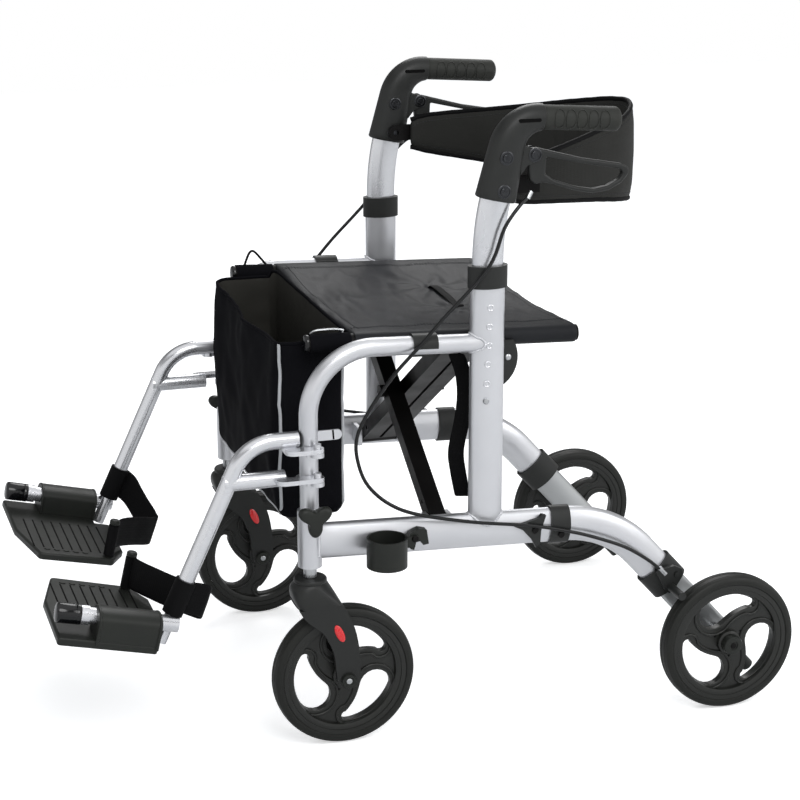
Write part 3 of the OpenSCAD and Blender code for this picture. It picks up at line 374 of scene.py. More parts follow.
# flat plate between two levels; the first outline is its edge and the others are holes
def slab(outlines, low, high, place):
    flat = [Vector(p) for outline in outlines for p in outline]
    edges, start = [], 0
    for outline in outlines:
        edges += [(start + i, start + (i + 1) % len(outline)) for i in range(len(outline))]
        start += len(outline)
    points, triangles = delaunay_2d_cdt(flat, edges, [], 0, 1e-6)[0:3:2]
    kept = []
    for face in triangles:
        mid = sum((points[i] for i in face), Vector((0, 0))) / len(face)
        if inside(mid, outlines[0]) and not any(inside(mid, hole) for hole in outlines[1:]):
            kept.append(list(face))
    n = len(points)
    faces = [face[::-1] for face in kept] + [[i + n for i in face] for face in kept]
    used = dict.fromkeys((a, b) for face in kept for a, b in zip(face, face[1:] + face[:1]))
    faces += [[a, b, b + n, a + n] for a, b in used if (b, a) not in used]
    return [place(p.x, p.y, low) for p in points] + [place(p.x, p.y, high) for p in points], faces


# welds doubled points or drops loose ones, and turns the faces outwards
def cleanMesh(mesh, weld):
    work = bmesh.new()
    work.from_mesh(mesh)
    if weld:
        bmesh.ops.remove_doubles(work, verts=work.verts, dist=1e-6)
    else:
        bmesh.ops.delete(work, geom=[v for v in work.verts if not v.link_faces], context="VERTS")
    bmesh.ops.recalc_face_normals(work, faces=work.faces)
    work.to_mesh(mesh)
    work.free()


def makePiece(name, shape, material, crease=35):
    mesh = bpy.data.meshes.new(name)
    mesh.from_pydata([tuple(p) for p in shape[0]], [], shape[1])
    cleanMesh(mesh, True)
    mesh.materials.append(material)
    mesh.shade_smooth()
    mesh.set_sharp_from_angle(angle=math.radians(crease))
    return addObject(name, mesh)


def roundEdges(piece, widthMm, segments=3, angle=35):
    bevel = piece.modifiers.new("rounded", "BEVEL")
    bevel.width = widthMm / 1000
    bevel.segments = segments
    bevel.limit_method = "ANGLE"
    bevel.angle_limit = math.radians(angle)
    bevel.use_clamp_overlap = True
    return piece


# turns live modifiers into the plain mesh of the piece
def settle(piece):
    bpy.context.view_layer.update()
    settled = bpy.data.meshes.new_from_object(piece.evaluated_get(bpy.context.evaluated_depsgraph_get()))
    piece.modifiers.clear()
    piece.data = settled
    return piece


# one round of subdivision
def refine(piece):
    finer = piece.modifiers.new("finer", "SUBSURF")
    finer.levels = finer.render_levels = 1
    return settle(piece)


# a sewn pad swells under a little inner pressure: its seams hold, and no point moves further than the cap
def swell(piece, held, voxelMm, pressure, capMm, frames):
    even = piece.modifiers.new("even", "REMESH")
    even.mode = "VOXEL"
    even.voxel_size = voxelMm / 1000
    settle(piece)
    sewn = [v.co.copy() for v in piece.data.vertices]
    piece.vertex_groups.new(name="held").add([i for i, p in enumerate(sewn) if held(p)], 1, "ADD")
    cloth = piece.modifiers.new("swollen", "CLOTH").settings
    cloth.vertex_group_mass = "held"
    cloth.use_pressure = True
    cloth.uniform_pressure_force = pressure
    cloth.effector_weights.gravity = 0
    for step in range(1, frames + 1):
        bpy.context.scene.frame_set(step)
    settle(piece)
    for v, start in zip(piece.data.vertices, sewn):
        move = v.co - start
        v.co = start + move * min(1, capMm / 1000 / max(move.length, 1e-9))
    bpy.context.scene.frame_set(1)
    piece.vertex_groups.clear()
    refine(piece)
    piece.data.shade_smooth()


def addTo(piece, body, slotName, *nodeNames):
    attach(piece, body)
    if nodeNames:
        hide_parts(*nodeNames)
    return piece


# smooth curve through given points, as the part's source draws it
def smooth(points, steps):
    p = [Vector(q) for q in points]
    out = []
    for i in range(len(p) - 1):
        a, b, c, d = p[max(i - 1, 0)], p[i], p[i + 1], p[min(i + 2, len(p) - 1)]
        for k in range(steps):
            t = k / steps
            out.append(0.5 * (2 * b + (c - a) * t + (2 * a - 5 * b + 4 * c - d) * t * t
                              + (3 * b - a - 3 * c + d) * t * t * t))
    return out + [p[-1]]


# a geometry tree with its inputs
def startTree(name, *inputs):
    tree = bpy.data.node_groups.new(name, "GeometryNodeTree")
    for label, kind in (("Geometry", "Geometry"), *inputs, ("Material", "Material")):
        tree.interface.new_socket(name=label, in_out="INPUT", socket_type="NodeSocket" + kind)
    tree.interface.new_socket(name="Geometry", in_out="OUTPUT", socket_type="NodeSocketGeometry")
    return tree, addNode(tree, "NodeGroupInput").outputs


# the end that every tree shares: copies made real and given their material
def endTree(tree, given, placed, soft=False):
    made = addNode(tree, "GeometryNodeRealizeInstances", {"Geometry": placed.outputs[0]})
    if soft:
        made = addNode(tree, "GeometryNodeSetShadeSmooth", {"Geometry": made.outputs[0]})
    made = addNode(tree, "GeometryNodeSetMaterial", {"Geometry": made.outputs[0], "Material": given["Material"]})
    addNode(tree, "NodeGroupOutput", {0: made.outputs[0]})
    return tree


# small bodies set along lines, such as stitches and weld ripples
def growAlongTree():
    tree, given = startTree("bodiesAlongLines", ("Spacing", "Float"), ("Size", "Vector"), ("Unevenness", "Float"))
    line = addNode(tree, "GeometryNodeMeshToCurve", {"Mesh": given["Geometry"]})
    spaced = addNode(tree, "GeometryNodeResampleCurve", {"Curve": line.outputs[0], "Length": given["Spacing"]},
                     mode="LENGTH")
    body = addNode(tree, "GeometryNodeMeshIcoSphere", {"Radius": 0.5, "Subdivisions": 2})
    turn = addNode(tree, "FunctionNodeAlignRotationToVector",
                   {"Vector": addNode(tree, "GeometryNodeInputTangent").outputs[0]}, axis="X")
    least = addNode(tree, "ShaderNodeMath", {0: 1.0, 1: given["Unevenness"]}, operation="SUBTRACT")
    most = addNode(tree, "ShaderNodeMath", {0: 1.0, 1: given["Unevenness"]}, operation="ADD")
    vary = addNode(tree, "FunctionNodeRandomValue", {2: least.outputs[0], 3: most.outputs[0], "Seed": 11},
                   data_type="FLOAT")
    size = addNode(tree, "ShaderNodeVectorMath", {0: given["Size"], "Scale": vary.outputs[1]}, operation="SCALE")
    placed = addNode(tree, "GeometryNodeInstanceOnPoints",
                     {"Points": spaced.outputs[0], "Instance": body.outputs[0], "Rotation": turn.outputs[0],
                      "Scale": size.outputs[0]})
    return endTree(tree, given, placed, soft=True)


# one head set on each point, turned to face outwards
def headsTree():
    tree, given = startTree("headsOnPoints", ("Head", "Object"))
    head = addNode(tree, "GeometryNodeObjectInfo", {"Object": given["Head"]})
    facing = addNode(tree, "GeometryNodeInputNamedAttribute", {"Name": "facing"}, data_type="FLOAT_VECTOR")
    turn = addNode(tree, "FunctionNodeAlignRotationToVector", {"Vector": facing.outputs[0]}, axis="Z")
    placed = addNode(tree, "GeometryNodeInstanceOnPoints",
                     {"Points": given["Geometry"], "Instance": head.outputs["Geometry"], "Rotation": turn.outputs[0]})
    return endTree(tree, given, placed)


# a row of like bars at an even pitch, such as the painted shade in the grooves of a footplate
def rowTree():
    tree, given = startTree("rowOfRibs", ("Count", "Int"), ("Pitch", "Float"), ("Size", "Vector"))
    step = addNode(tree, "ShaderNodeCombineXYZ", {"Y": given["Pitch"]})
    row = addNode(tree, "GeometryNodeMeshLine", {"Count": given["Count"], "Offset": step.outputs[0]}, mode="OFFSET")
    bar = addNode(tree, "GeometryNodeMeshCylinder", {"Vertices": 12, "Radius": 0.5, "Depth": 1.0})
    lying = addNode(tree, "GeometryNodeTransform", {"Geometry": bar.outputs[0], "Rotation": (0, math.pi / 2, 0)})
    placed = addNode(tree, "GeometryNodeInstanceOnPoints",
                     {"Points": row.outputs[0], "Instance": lying.outputs[0], "Scale": given["Size"]})
    return endTree(tree, given, placed)


alongLines, headsOnPoints, rowOfRibs = growAlongTree(), headsTree(), rowTree()


# lays a tree over plain points or lines and keeps the result as a plain mesh
def grow(name, tree, points, edges, settings, facings=None):
    mesh = bpy.data.meshes.new(name)
    mesh.from_pydata([tuple(p) for p in points], edges, [])
    if facings:
        mesh.attributes.new("facing", "FLOAT_VECTOR", "POINT").data.foreach_set(
            "vector", [c for f in facings for c in f])
    piece = addObject(name, mesh)
    grown = piece.modifiers.new("grown", "NODES")
    grown.node_group = tree
    for item in tree.interface.items_tree:
        if item.in_out == "INPUT" and item.name in settings:
            grown[item.identifier] = settings[item.name]
    return settle(piece)


def linesOf(paths):
    points, edges = [], []
    for path in paths:
        edges += [(len(points) + i, len(points) + i + 1) for i in range(len(path) - 1)]
        points += path
    return points, edges


# rows of small bodies in millimetres: thread, drawn coarse enough to show, and the ripples of a weld
stitch = {"spacing": 4.5, "size": (3.2, 0.9, 0.7), "unevenness": 0.08}
ripple = {"spacing": 1.9, "size": (3.4, 4.6, 3.4), "unevenness": 0.1}


def rowsAlong(name, paths, kind, material):
    size = [v / 1000 for v in kind["size"]]
    return grow(name, alongLines, *linesOf(paths), {"Spacing": kind["spacing"] / 1000, "Size": size,
                                                    "Unevenness": kind["unevenness"], "Material": material})


# a head's own mesh is only a pattern for the tree and is removed after use
def setHeads(name, profile, places, facings, material, body, slotName, hexDepth=0):
    shape = turned(profile, 28)
    if hexDepth:
        r, top = profile[-1]
        hexagon = [(r * 0.5 * math.cos(math.pi / 3 * k), r * 0.5 * math.sin(math.pi / 3 * k)) for k in range(6)]
        shape = merge(shape, slab([hexagon], top, top + hexDepth, lambda u, v, w: Vector((u, v, w)) / 1000))
    pattern = makePiece(name + "Pattern", shape, material)
    piece = grow(name, headsOnPoints, places, [], {"Head": pattern, "Material": material}, facings)
    bpy.data.objects.remove(pattern)
    return addTo(piece, body, slotName)


# brake cables: route points from the part's source
cable = {"radius": 2.5, "sides": 12, "steps": 6, "bendsFrom": 470, "bendsTo": 735,
         "route": [(4, 58, 752), (12, 40, 740), (17, 17, 712), (21, -7, 660), (21, -71, 594), (20, -100, 562),
                   (16.5, -135, 524), (17, -169, 479), (17, -187, 442), (17, -186, 408), (17, -172, 373),
                   (16.3, -141, 343), (20, -100, 325), (22, -23, 307), (23, 61, 293), (22, 118, 278), (22, 159, 264),
                   (22, 203, 245), (22, 238, 222), (22, 253.8, 208.2)]}
for side, sign in sides:
    path = [atSide(sign, *p) for p in smooth(cable["route"], cable["steps"])]
    sheath = makePiece("brakeCable_" + side, tube(path, cable["radius"], cable["sides"]), cableSheath)
    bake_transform(sheath)
    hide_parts("brake_cable_" + side)
print("brake cables laid")

# finishes of the CAD nodes that keep their own shape
finishes = {
    "side_rail": satinAluminium, "post": satinAluminium, "arm": satinAluminium, "rear_leg": greyAluminium,
    "frame_fittings": charcoalNylon, "stem_bearing": platedSteel, "caster_bolts": platedSteel,
    "rear_axle": platedSteel, "brake_arm": charcoalNylon, "handle_tube": brightTube, "hanger": brightTube,
    "foot_bar": brightTube, "backrest_bracket": coatedSteel, "seat_saddle": charcoalNylon, "brace_a": coatedSteel,
    "brace_b": coatedSteel, "cane_holder": blackPlastic}
for name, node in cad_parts.items():
    finish = finishes.get(name.rsplit("_left", 1)[0].rsplit("_right", 1)[0])
    if finish:
        node.data.materials.clear()
        node.data.materials.append(finish)
print("frame finished")


# handles: moulded elbow over the post tube, grip, and loop lever
handle = {"foot": (9.0, 747.2), "lean": 12.5, "run": 72, "elbowR": 46, "tip": 94, "deep": (28, 24, 18),
          "wide": (18, 17.5), "footRings": ((0, 2.2), (0.6, 0.8), (2.2, 0)), "runRings": 7, "elbowRings": 14,
          "mouth": (17.2, 16.8), "squareness": 0.82, "sides": 40,
          "bolts": ((18.3, 804.4), (15.4, 760)), "boltX": 17.7, "pivotBoltX": 10.2,
          "boltHead": [(9.4, -2), (9.4, 0.5), (8.6, 1.0), (7.4, 1.0), (7.2, 0.3), (5.4, 0.3), (5.4, 1.8), (4.6, 2.4),
                       (3.4, 2.4)],
          "ferrule": ((4, 58, 756), (7, 52, 747)), "ferruleR": 3.4}
grip = {"length": 112, "radius": 17, "rings": 56, "sides": 36, "inset": 0.5, "lip": 1.5, "lipInset": 1.2, "dome": 9,
        "domeShare": 0.98, "ovals": (20, 36, 52, 68, 84), "ovalHalf": (7, 48), "ovalSunk": 0.3, "ovalR": 0.8}
elbowSlot = {"centre": (50.2, 852.4), "half": (15.5, 2.3), "starts": (14.0, -18.2), "deep": 4.2}
lean, tip = math.radians(handle["lean"]), math.radians(handle["tip"])


def runAt(along):
    return (handle["foot"][0] + along * math.sin(lean), handle["foot"][1] + along * math.cos(lean))


elbowY, elbowZ = runAt(handle["run"])


def elbowAt(h):
    return (elbowY + handle["elbowR"] * (math.cos(lean) - math.cos(h)),
            elbowZ + handle["elbowR"] * (math.sin(h) - math.sin(lean)))


def squareRing(sign, centre, h, deep, wide, power=handle["squareness"]):
    ring = []
    for a in turns(handle["sides"]):
        v = deep * squared(math.sin(a), power)
        ring.append(atSide(sign, wide * squared(math.cos(a), power), centre[0] + v * math.cos(h),
                           centre[1] - v * math.sin(h)))
    return ring


lever = {"pivot": (elbowY + 36, elbowZ - 12), "half": 6, "earGap": 0.3, "earThick": 4,
         "outline": [(-7, 4), (-3, 8), (6, 8), (70, -9), (126, -19), (136, -24), (136, -33), (126, -45), (108, -54),
                     (86, -57), (60, -52), (30, -42), (14, -38), (2, -40), (-5, -34), (-8, -10)],
         "opening": [(18, -4), (70, -16), (124, -26), (128, -32), (122, -40), (106, -48), (86, -51), (60, -46),
                     (30, -36), (17, -27)],
         "ear": [(-19.5, 14), (-19.5, -26), (-10, -14), (5, -7), (8, 2), (0, 8)]}
gripStart = elbowAt(tip)
gripAxis = Vector((0, math.sin(tip), math.cos(tip)))


def fromPivot(points):
    return [(lever["pivot"][0] + u, lever["pivot"][1] + v) for u, v in points]


def onGrip(sign, along, r, a):
    return atSide(sign, r * math.cos(a), gripStart[0] + along * gripAxis.y + r * math.sin(a) * gripAxis.z,
                  gripStart[1] + along * gripAxis.z - r * math.sin(a) * gripAxis.y)


slotLong, slotHigh = elbowSlot["half"]
slit = [(elbowSlot["centre"][0] + end * (slotLong - slotHigh) + slotHigh * math.cos(a),
         elbowSlot["centre"][1] + slotHigh * math.sin(a))
        for end, start in ((1, -90), (-1, 90)) for a in [math.radians(start + 180 * k / 8) for k in range(9)]]
for side, sign in sides:
    body = "grip_post_" + side
    deep, wide = handle["deep"], handle["wide"]
    rings = [squareRing(sign, runAt(along), lean, deep[0] - inset, wide[0] - inset)
             for along, inset in handle["footRings"]]
    for k in range(1, handle["runRings"]):
        share = k / handle["runRings"]
        rings.append(squareRing(sign, runAt(handle["run"] * share), lean, deep[0] - (deep[0] - deep[1]) * share,
                                wide[0]))
    for k in range(handle["elbowRings"] + 1):
        share = k / handle["elbowRings"]
        h = lean + (tip - lean) * share
        rings.append(squareRing(sign, elbowAt(h), h, deep[1] - (deep[1] - deep[2]) * share,
                                wide[0] - (wide[0] - wide[1]) * share,
                                handle["squareness"] + (1 - handle["squareness"]) * share))
    rings.append(squareRing(sign, elbowAt(tip), tip, *handle["mouth"], 1))
    ears = [slab([fromPivot(lever["ear"])], x, x + lever["earThick"], sidePlane(sign))
            for x in (-lever["half"] - lever["earGap"] - lever["earThick"], lever["half"] + lever["earGap"])]
    elbow = makePiece("handleElbow_" + side, merge(loft(rings), *ears), charcoalNylon, 45)
    addTo(roundEdges(elbow, 0.8, 2), body, "charcoal_plastic", "handle_" + side)

    rings = []
    for k in range(grip["rings"] + 1):
        along = grip["length"] * k / grip["rings"]
        end = max(0, along - grip["length"] + grip["dome"]) / grip["dome"]
        r = grip["radius"] - (grip["inset"] if along > grip["lip"] else grip["lipInset"])
        r *= math.sqrt(1 - end * end * grip["domeShare"])
        rings.append([onGrip(sign, along, r, a) for a in turns(grip["sides"])])
    # fine raised ovals on both faces of the grip
    halfLong, halfTurn = grip["ovalHalf"][0], math.radians(grip["ovalHalf"][1])
    ovals = []
    for along in grip["ovals"]:
        for face in (0, math.pi):
            oval = [onGrip(sign, along + halfLong * math.cos(t), grip["radius"] - grip["ovalSunk"],
                           face + halfTurn * math.sin(t)) for t in turns(28)]
            ovals.append(tube(oval, grip["ovalR"], 6, closed=True))
    sleeve = makePiece("gripSleeve_" + side, merge(loft(rings), *ovals), gripRubber, 60)
    addTo(sleeve, body, "grip_rubber", "grip_" + side)

    # the slot in the elbow is drawn as thin near-black slabs: painted shade
    slits = [slab([slit], x, x + elbowSlot["deep"], sidePlane(sign)) for x in elbowSlot["starts"]]
    addTo(makePiece("elbowSlot_" + side, merge(*slits), paintedRecessShade), body, "black_plastic")

    outlines = [fromPivot(lever["outline"]), fromPivot(lever["opening"])]
    loop = slab(outlines, -lever["half"], lever["half"], sidePlane(sign))
    addTo(roundEdges(makePiece("loopLever_" + side, loop, charcoalNylon, 30), 2.4, 3, 25), "lever_" + side,
          "charcoal_plastic", "brake_lever_" + side)

    out = Vector((sign, 0, 0))
    places = [atSide(sign, way * handle["boltX"], y, z) for way in (1, -1) for y, z in handle["bolts"]]
    places += [atSide(sign, way * handle["pivotBoltX"], *lever["pivot"]) for way in (1, -1)]
    setHeads("handleScrews_" + side, handle["boltHead"], places, [out, out, -out, -out, out, -out], blackenedSteel,
             body, "black_steel", 0.3)
    ferrule = tube([atSide(sign, *p) for p in handle["ferrule"]], handle["ferruleR"], 14)
    addTo(makePiece("cableFerrule_" + side, ferrule, platedSteel), body, "bright_steel")
print("handles made")


# wheels: comma openings between three spokes, a rib round each opening, soft tyre
# each pocket shade, a near-black triangle of painted shade, has its radius, its angle from an opening's head, its half
# size and the way it points
wheel = {"webHalf": 6, "webR": 74, "webSteps": 96, "spokes": 3, "turn": {"caster": 304, "rear": 329}, "sweep": 62,
         "inner": (0.275, 0.29, 1.9), "outer": (0.715, 0.02), "outerGrown": 0.6, "gapSteps": 16,
         "ribR": 2.1, "ribOut": 9.5, "ribLift": 0.4, "pocketShades": ((23.5, -86, 3.2, 0), (77, -98, 4.6, 180)),
         "pocketHalf": 0.5,
         "rim": [(72, -8), (73, -11), (76, -12.2), (80, -12.2), (80.6, -13.4), (86.8, -13.4), (86.8, 13.4),
                 (80.6, 13.4), (80, 12.2), (76, 12.2), (73, 11), (72, 8)],
         "hub": [(5.4, -17), (12, -17), (13.4, -16), (14, -13), (17, -11.5), (17.6, -6), (17.6, 6), (17, 11.5),
                 (14, 13), (13.4, 16), (12, 17), (5.4, 17)],
         "tread": [(87.1, -13.6), (88, -14.8), (91, -15), (95, -14.2), (97.6, -12.2), (98.9, -9.2), (99.3, -7.6),
                   (98.5, -7.0), (99.5, -6.4), (99.9, -2.8), (99.2, -2.2), (99.2, 2.2), (99.9, 2.8), (99.5, 6.4),
                   (98.5, 7.0), (99.3, 7.6), (98.9, 9.2), (97.6, 12.2), (95, 14.2), (91, 15), (88, 14.8),
                   (87.1, 13.6)]}
# caps over the rear axle's outer end, and round the heads of the caster's axle bolt
hubCap = {"profile": [(14.5, 17.4), (14.5, 22.5), (13.4, 25), (10.5, 26), (6.4, 26), (5.6, 24.6), (0.05, 24.6)],
          "boltX": 24.6, "boltHead": [(4.2, -1), (4.2, 0.5), (3.6, 0.9), (2.4, 0.9)]}
axleCap = {"profile": [(10.4, 27), (10.4, 31), (9.4, 33.2), (6.6, 33.4), (5.8, 32.4), (0.05, 32.4)],
           "boltX": 32.4, "boltHead": [(4.0, -1), (4.0, 0.4), (3.4, 0.8), (2.2, 0.8)]}


def polar(r, degrees):
    return Vector((r * math.cos(math.radians(degrees)), r * math.sin(math.radians(degrees))))


# outline from the round head of an opening to its tip, as the part's source draws it; grown widens it for the rib
def spokeGap(start, grown=0):
    sweep, (foot, rise, bend), (crown, fall) = wheel["sweep"], wheel["inner"], wheel["outer"]

    def low(t):
        return wheelR * (foot + rise * t ** bend) - grown

    def high(t):
        return wheelR * (crown - fall * t * t) + grown * wheel["outerGrown"]

    head = polar((low(0) + high(0)) / 2, start)
    tip = polar((low(1) + high(1)) / 2, start - sweep)
    headR, tipR = (high(0) - low(0)) / 2, (high(1) - low(1)) / 2
    shares = [k / wheel["gapSteps"] for k in range(wheel["gapSteps"] + 1)]
    points = [polar(low(t), start - sweep * t) for t in shares]
    points += [tip + polar(tipR, start + 180 - sweep + 30 * k) for k in range(1, 6)]
    points += [polar(high(t), start - sweep * t) for t in reversed(shares)]
    points += [head + polar(headR, start + 18 * k) for k in range(1, 10)]
    return [(p.x, p.y) for p in points]


def makeWheel(kind, side, sign, centreX, centreY):
    name, body = kind + "Wheel_" + side, kind + "_wheel_" + side
    place = lambda u, v, w: atSide(sign, centreX + w, centreY + v, wheelR - u)
    half, steps = wheel["webHalf"], wheel["webSteps"]
    disc = [tuple(polar(wheel["webR"], 360 * k / steps)) for k in range(steps)]
    starts = [wheel["turn"][kind] + 360 / wheel["spokes"] * k for k in range(wheel["spokes"])]
    web = slab([disc] + [spokeGap(a) for a in starts], -half, half, place)
    addTo(roundEdges(makePiece(name + "Spokes", web, wheelPlastic, 30), 1.6, 2, 30), body, "wheel_plastic")
    ribs, pocketShades = [], []
    for start in starts:
        for x in (-half - wheel["ribLift"], half + wheel["ribLift"]):
            path = [place(u, v, x) for u, v in spokeGap(start, wheel["ribOut"])]
            ribs.append(tube(path, wheel["ribR"], 8, closed=True))
            # painted shade: near-black triangles where the ribs part at the rim and at the hub stand in for the hollows
            # there
            for r, angle, size, facing in wheel["pocketShades"]:
                corner = polar(r, start + angle)
                hollow = [tuple(corner + polar(size, start + angle + facing + 120 * k)) for k in range(3)]
                pocketShades.append(slab([hollow], x - wheel["pocketHalf"], x + wheel["pocketHalf"], place))
    addTo(makePiece(name + "Ribs", merge(*ribs), wheelPlastic, 60), body, "wheel_plastic")
    addTo(makePiece(name + "Pockets", merge(*pocketShades), paintedRecessShade), body, "wheel_plastic")
    centre = atSide(sign, centreX, centreY, wheelR)
    hoop = merge(lathe(wheel["rim"], centre, (1, 0, 0), 96, closed=True),
                 lathe(wheel["hub"], centre, (1, 0, 0), 48, closed=True))
    addTo(makePiece(name + "Rim", hoop, wheelPlastic, 28), body, "wheel_plastic", kind + "_rim_" + side)
    tread = lathe(wheel["tread"], centre, (1, 0, 0), 120, closed=True)
    addTo(makePiece(name + "Tyre", tread, tyreRubber, 28), body, "tyre_rubber", kind + "_tyre_" + side)


for side, sign in sides:
    makeWheel("caster", side, sign, 0, casterY)
    makeWheel("rear", side, sign, rearTrack, axleY)
    out = Vector((sign, 0, 0))
    cap = lathe(hubCap["profile"], atSide(sign, rearTrack, axleY, wheelR), out, 40)
    addTo(makePiece("hubCap_" + side, cap, blackPlastic, 30), side + "_frame", "black_plastic")
    setHeads("hubBolt_" + side, hubCap["boltHead"], [atSide(sign, rearTrack + hubCap["boltX"], axleY, wheelR)], [out],
             coatedSteel, side + "_frame", "black_steel")
    caps = [lathe(axleCap["profile"], atSide(sign, 0, casterY, wheelR), (way, 0, 0), 36) for way in (1, -1)]
    addTo(makePiece("axleCaps_" + side, merge(*caps), blackPlastic, 30), "caster_" + side, "black_plastic")
    setHeads("axleHex_" + side, axleCap["boltHead"],
             [atSide(sign, way * axleCap["boltX"], casterY, wheelR) for way in (1, -1)], [out, -out], platedSteel,
             "caster_" + side, "bright_steel")
print("wheels made")


# caster forks: two swept legs, a crown and a capped boss under the socket
# each ring of the crown has its height, middle, half depth, half width and squareness
fork = {"gap": 19, "leg": 9, "crown": 206, "legTop": 4, "sides": 56,
        "outline": [(-27, 36), (-29, 26), (-25, 10), (-14, -12), (10, -34), (24, -62), (28, -90), (31, -108),
                    (40, -118), (52, -118), (61, -108), (62, -76), (55, -32), (36, 10), (26, 30), (24, 36)],
        "crownRings": ((240, 0, 21.4, 21.4, 1.0), (238.5, 0, 23, 23, 1.0), (236, -0.8, 25.4, 24, 0.92),
                       (231, -0.2, 27.8, 25.6, 0.8), (224, 2.2, 29.5, 27.1, 0.6), (215, 5.9, 30.4, 27.9, 0.38),
                       (207, 10.2, 30.5, 28, 0.24), (205.6, 10.8, 30.3, 27.8, 0.24)),
        "collar": [(21.8, 238), (22, 240.6), (22.6, 241.2), (22.6, 243.6), (21.4, 245.4), (12, 246)]}
# red ovals: levels are the share of the outline and the height above the fork's face
reflector = {"centre": (33, -36), "half": (5.6, 13.5), "turn": 66,
             "levels": ((1.0, -0.5), (1.0, 0.7), (0.86, 1.5), (0.5, 1.9), (0.05, 2.0))}
forkCurve = smooth([(u, v, 0) for u, v in fork["outline"] + fork["outline"][:1]], 5)[:-1]
# the outline is listed from its top, so the points below the crown follow one another
forkLeg = [(p.x, p.y) for p in forkCurve if p.y < fork["legTop"]]
for side, sign in sides:
    body = "caster_" + side
    place = lambda u, v, w: atSide(sign, w, frontY + u, fork["crown"] + v)
    legs = merge(*[slab([forkLeg], x, x + fork["leg"], place) for x in (-fork["gap"] - fork["leg"], fork["gap"])])
    addTo(roundEdges(makePiece("casterFork_" + side, legs, charcoalNylon, 30), 2.6, 3, 30), body, "charcoal_plastic",
          "caster_fork_" + side)
    rings = []
    for z, mid, deep, wide, power in fork["crownRings"]:
        rings.append([atSide(sign, wide * squared(math.cos(a), power),
                             frontY + mid + deep * squared(math.sin(a), power), z) for a in turns(fork["sides"])])
    collar = lathe(fork["collar"], atSide(sign, 0, frontY, 0), (0, 0, 1), fork["sides"])
    addTo(makePiece("forkCrown_" + side, merge(loft(rings), collar), charcoalNylon, 40), body, "charcoal_plastic")

    # reflectors are let into both faces of the fork
    lenses = []
    (u0, v0), (halfWide, halfHigh), turn = reflector["centre"], reflector["half"], math.radians(-reflector["turn"])
    for way in (1, -1):
        rings = []
        for share, lift in reflector["levels"]:
            ring = []
            for a in turns(32):
                e, f = halfHigh * share * math.cos(a), halfWide * share * math.sin(a)
                ring.append(place(u0 + e * math.cos(turn) - f * math.sin(turn),
                                  v0 + e * math.sin(turn) + f * math.cos(turn),
                                  way * (fork["gap"] + fork["leg"]) + way * lift))
            rings.append(ring)
        lenses.append(loft(rings))
    addTo(makePiece("forkReflector_" + side, merge(*lenses), redAcrylic, 50), body, "black_plastic")
print("forks made")


# clamp knobs: soft three-lobed hand knob; levels are the distance along and the share of the outline
knob = {"centre": (16.7, frontY, 338), "radius": 18, "lobe": 7, "lobes": 3, "sides": 72,
        "levels": ((0, 0.3), (0, 0.32), (6, 0.34), (6.2, 0.8), (8, 0.95), (11, 1.0), (16, 1.0), (19, 0.93),
                   (20.4, 0.8), (20.9, 0.5), (21, 0.05))}
for side, sign in sides:
    rings = []
    x, y, z = knob["centre"]
    for along, share in knob["levels"]:
        # lobes fade out towards the narrow levels
        lobe = min(1, max(0, share * 1.6 - 0.6))
        ring = []
        for a in turns(knob["sides"]):
            r = (knob["radius"] + knob["lobe"] * math.cos(knob["lobes"] * a) * lobe) * share
            ring.append(atSide(sign, x + along, y + r * math.sin(a), z - r * math.cos(a)))
        rings.append(ring)
    addTo(makePiece("clampKnob_" + side, loft(rings), blackPlastic, 40), "post_knob_" + side, "black_plastic",
          "clamp_knob_" + side)
print("knobs made")


# footplates: ribbed tread plate with a housing round the foot bar and a post for the heel loop
plate = {"outer": 29, "inner": -203, "top": -24, "thick": 11, "housing": (-100, -16), "boreR": 11.3, "flange": 4,
         "flangeOut": 0.5, "grooves": 9, "pitch": 14, "groove": (0.120, 0.0024, 0.0014), "firstGroove": (-116, -130),
         "bosses": 5, "firstBoss": (20, -112), "bossHead": [(4.6, -1), (4.6, 0.6), (3.8, 1.2), (1.5, 1.2)]}
heelPost = {"place": (18, -22),
            "profile": [(5, plate["top"] - 1), (5, 25), (7.5, 26), (7.5, 30), (6, 32), (0.05, 32.4)]}
barCap = [(11.6, 120), (13.4, 121), (13.6, 123), (13.6, 126), (13.2, 127), (13.6, 128), (13.7, 150.4), (12.9, 152.4),
          (10.5, 153.6), (5, 154.2), (0.05, 154.4)]
plateUp = Vector((0, math.sin(footTilt), math.cos(footTilt)))
plateEdge = [(plate["outer"], -16), (plate["outer"], -150), (plate["inner"] + 98, -149), (plate["inner"] + 2, -126),
             (plate["inner"], -120), (plate["inner"] + 5, -16), (plate["inner"] + 50, 6), (-34, 6), (-34, -16)]
archTop = [(4.5 + 24.5 * math.cos(math.pi * k / 12), 2 + 13 * math.sin(math.pi * k / 12)) for k in range(1, 12)]
arch = [(plate["outer"], -26), (plate["outer"], 2)] + archTop + [(-20, 2), (-20, -26)]
bore = [(plate["boreR"] * math.cos(a), plate["boreR"] * math.sin(a)) for a in turns(40)]
collar = [(u * 1.07, v * 1.1 - 1) for u, v in arch]
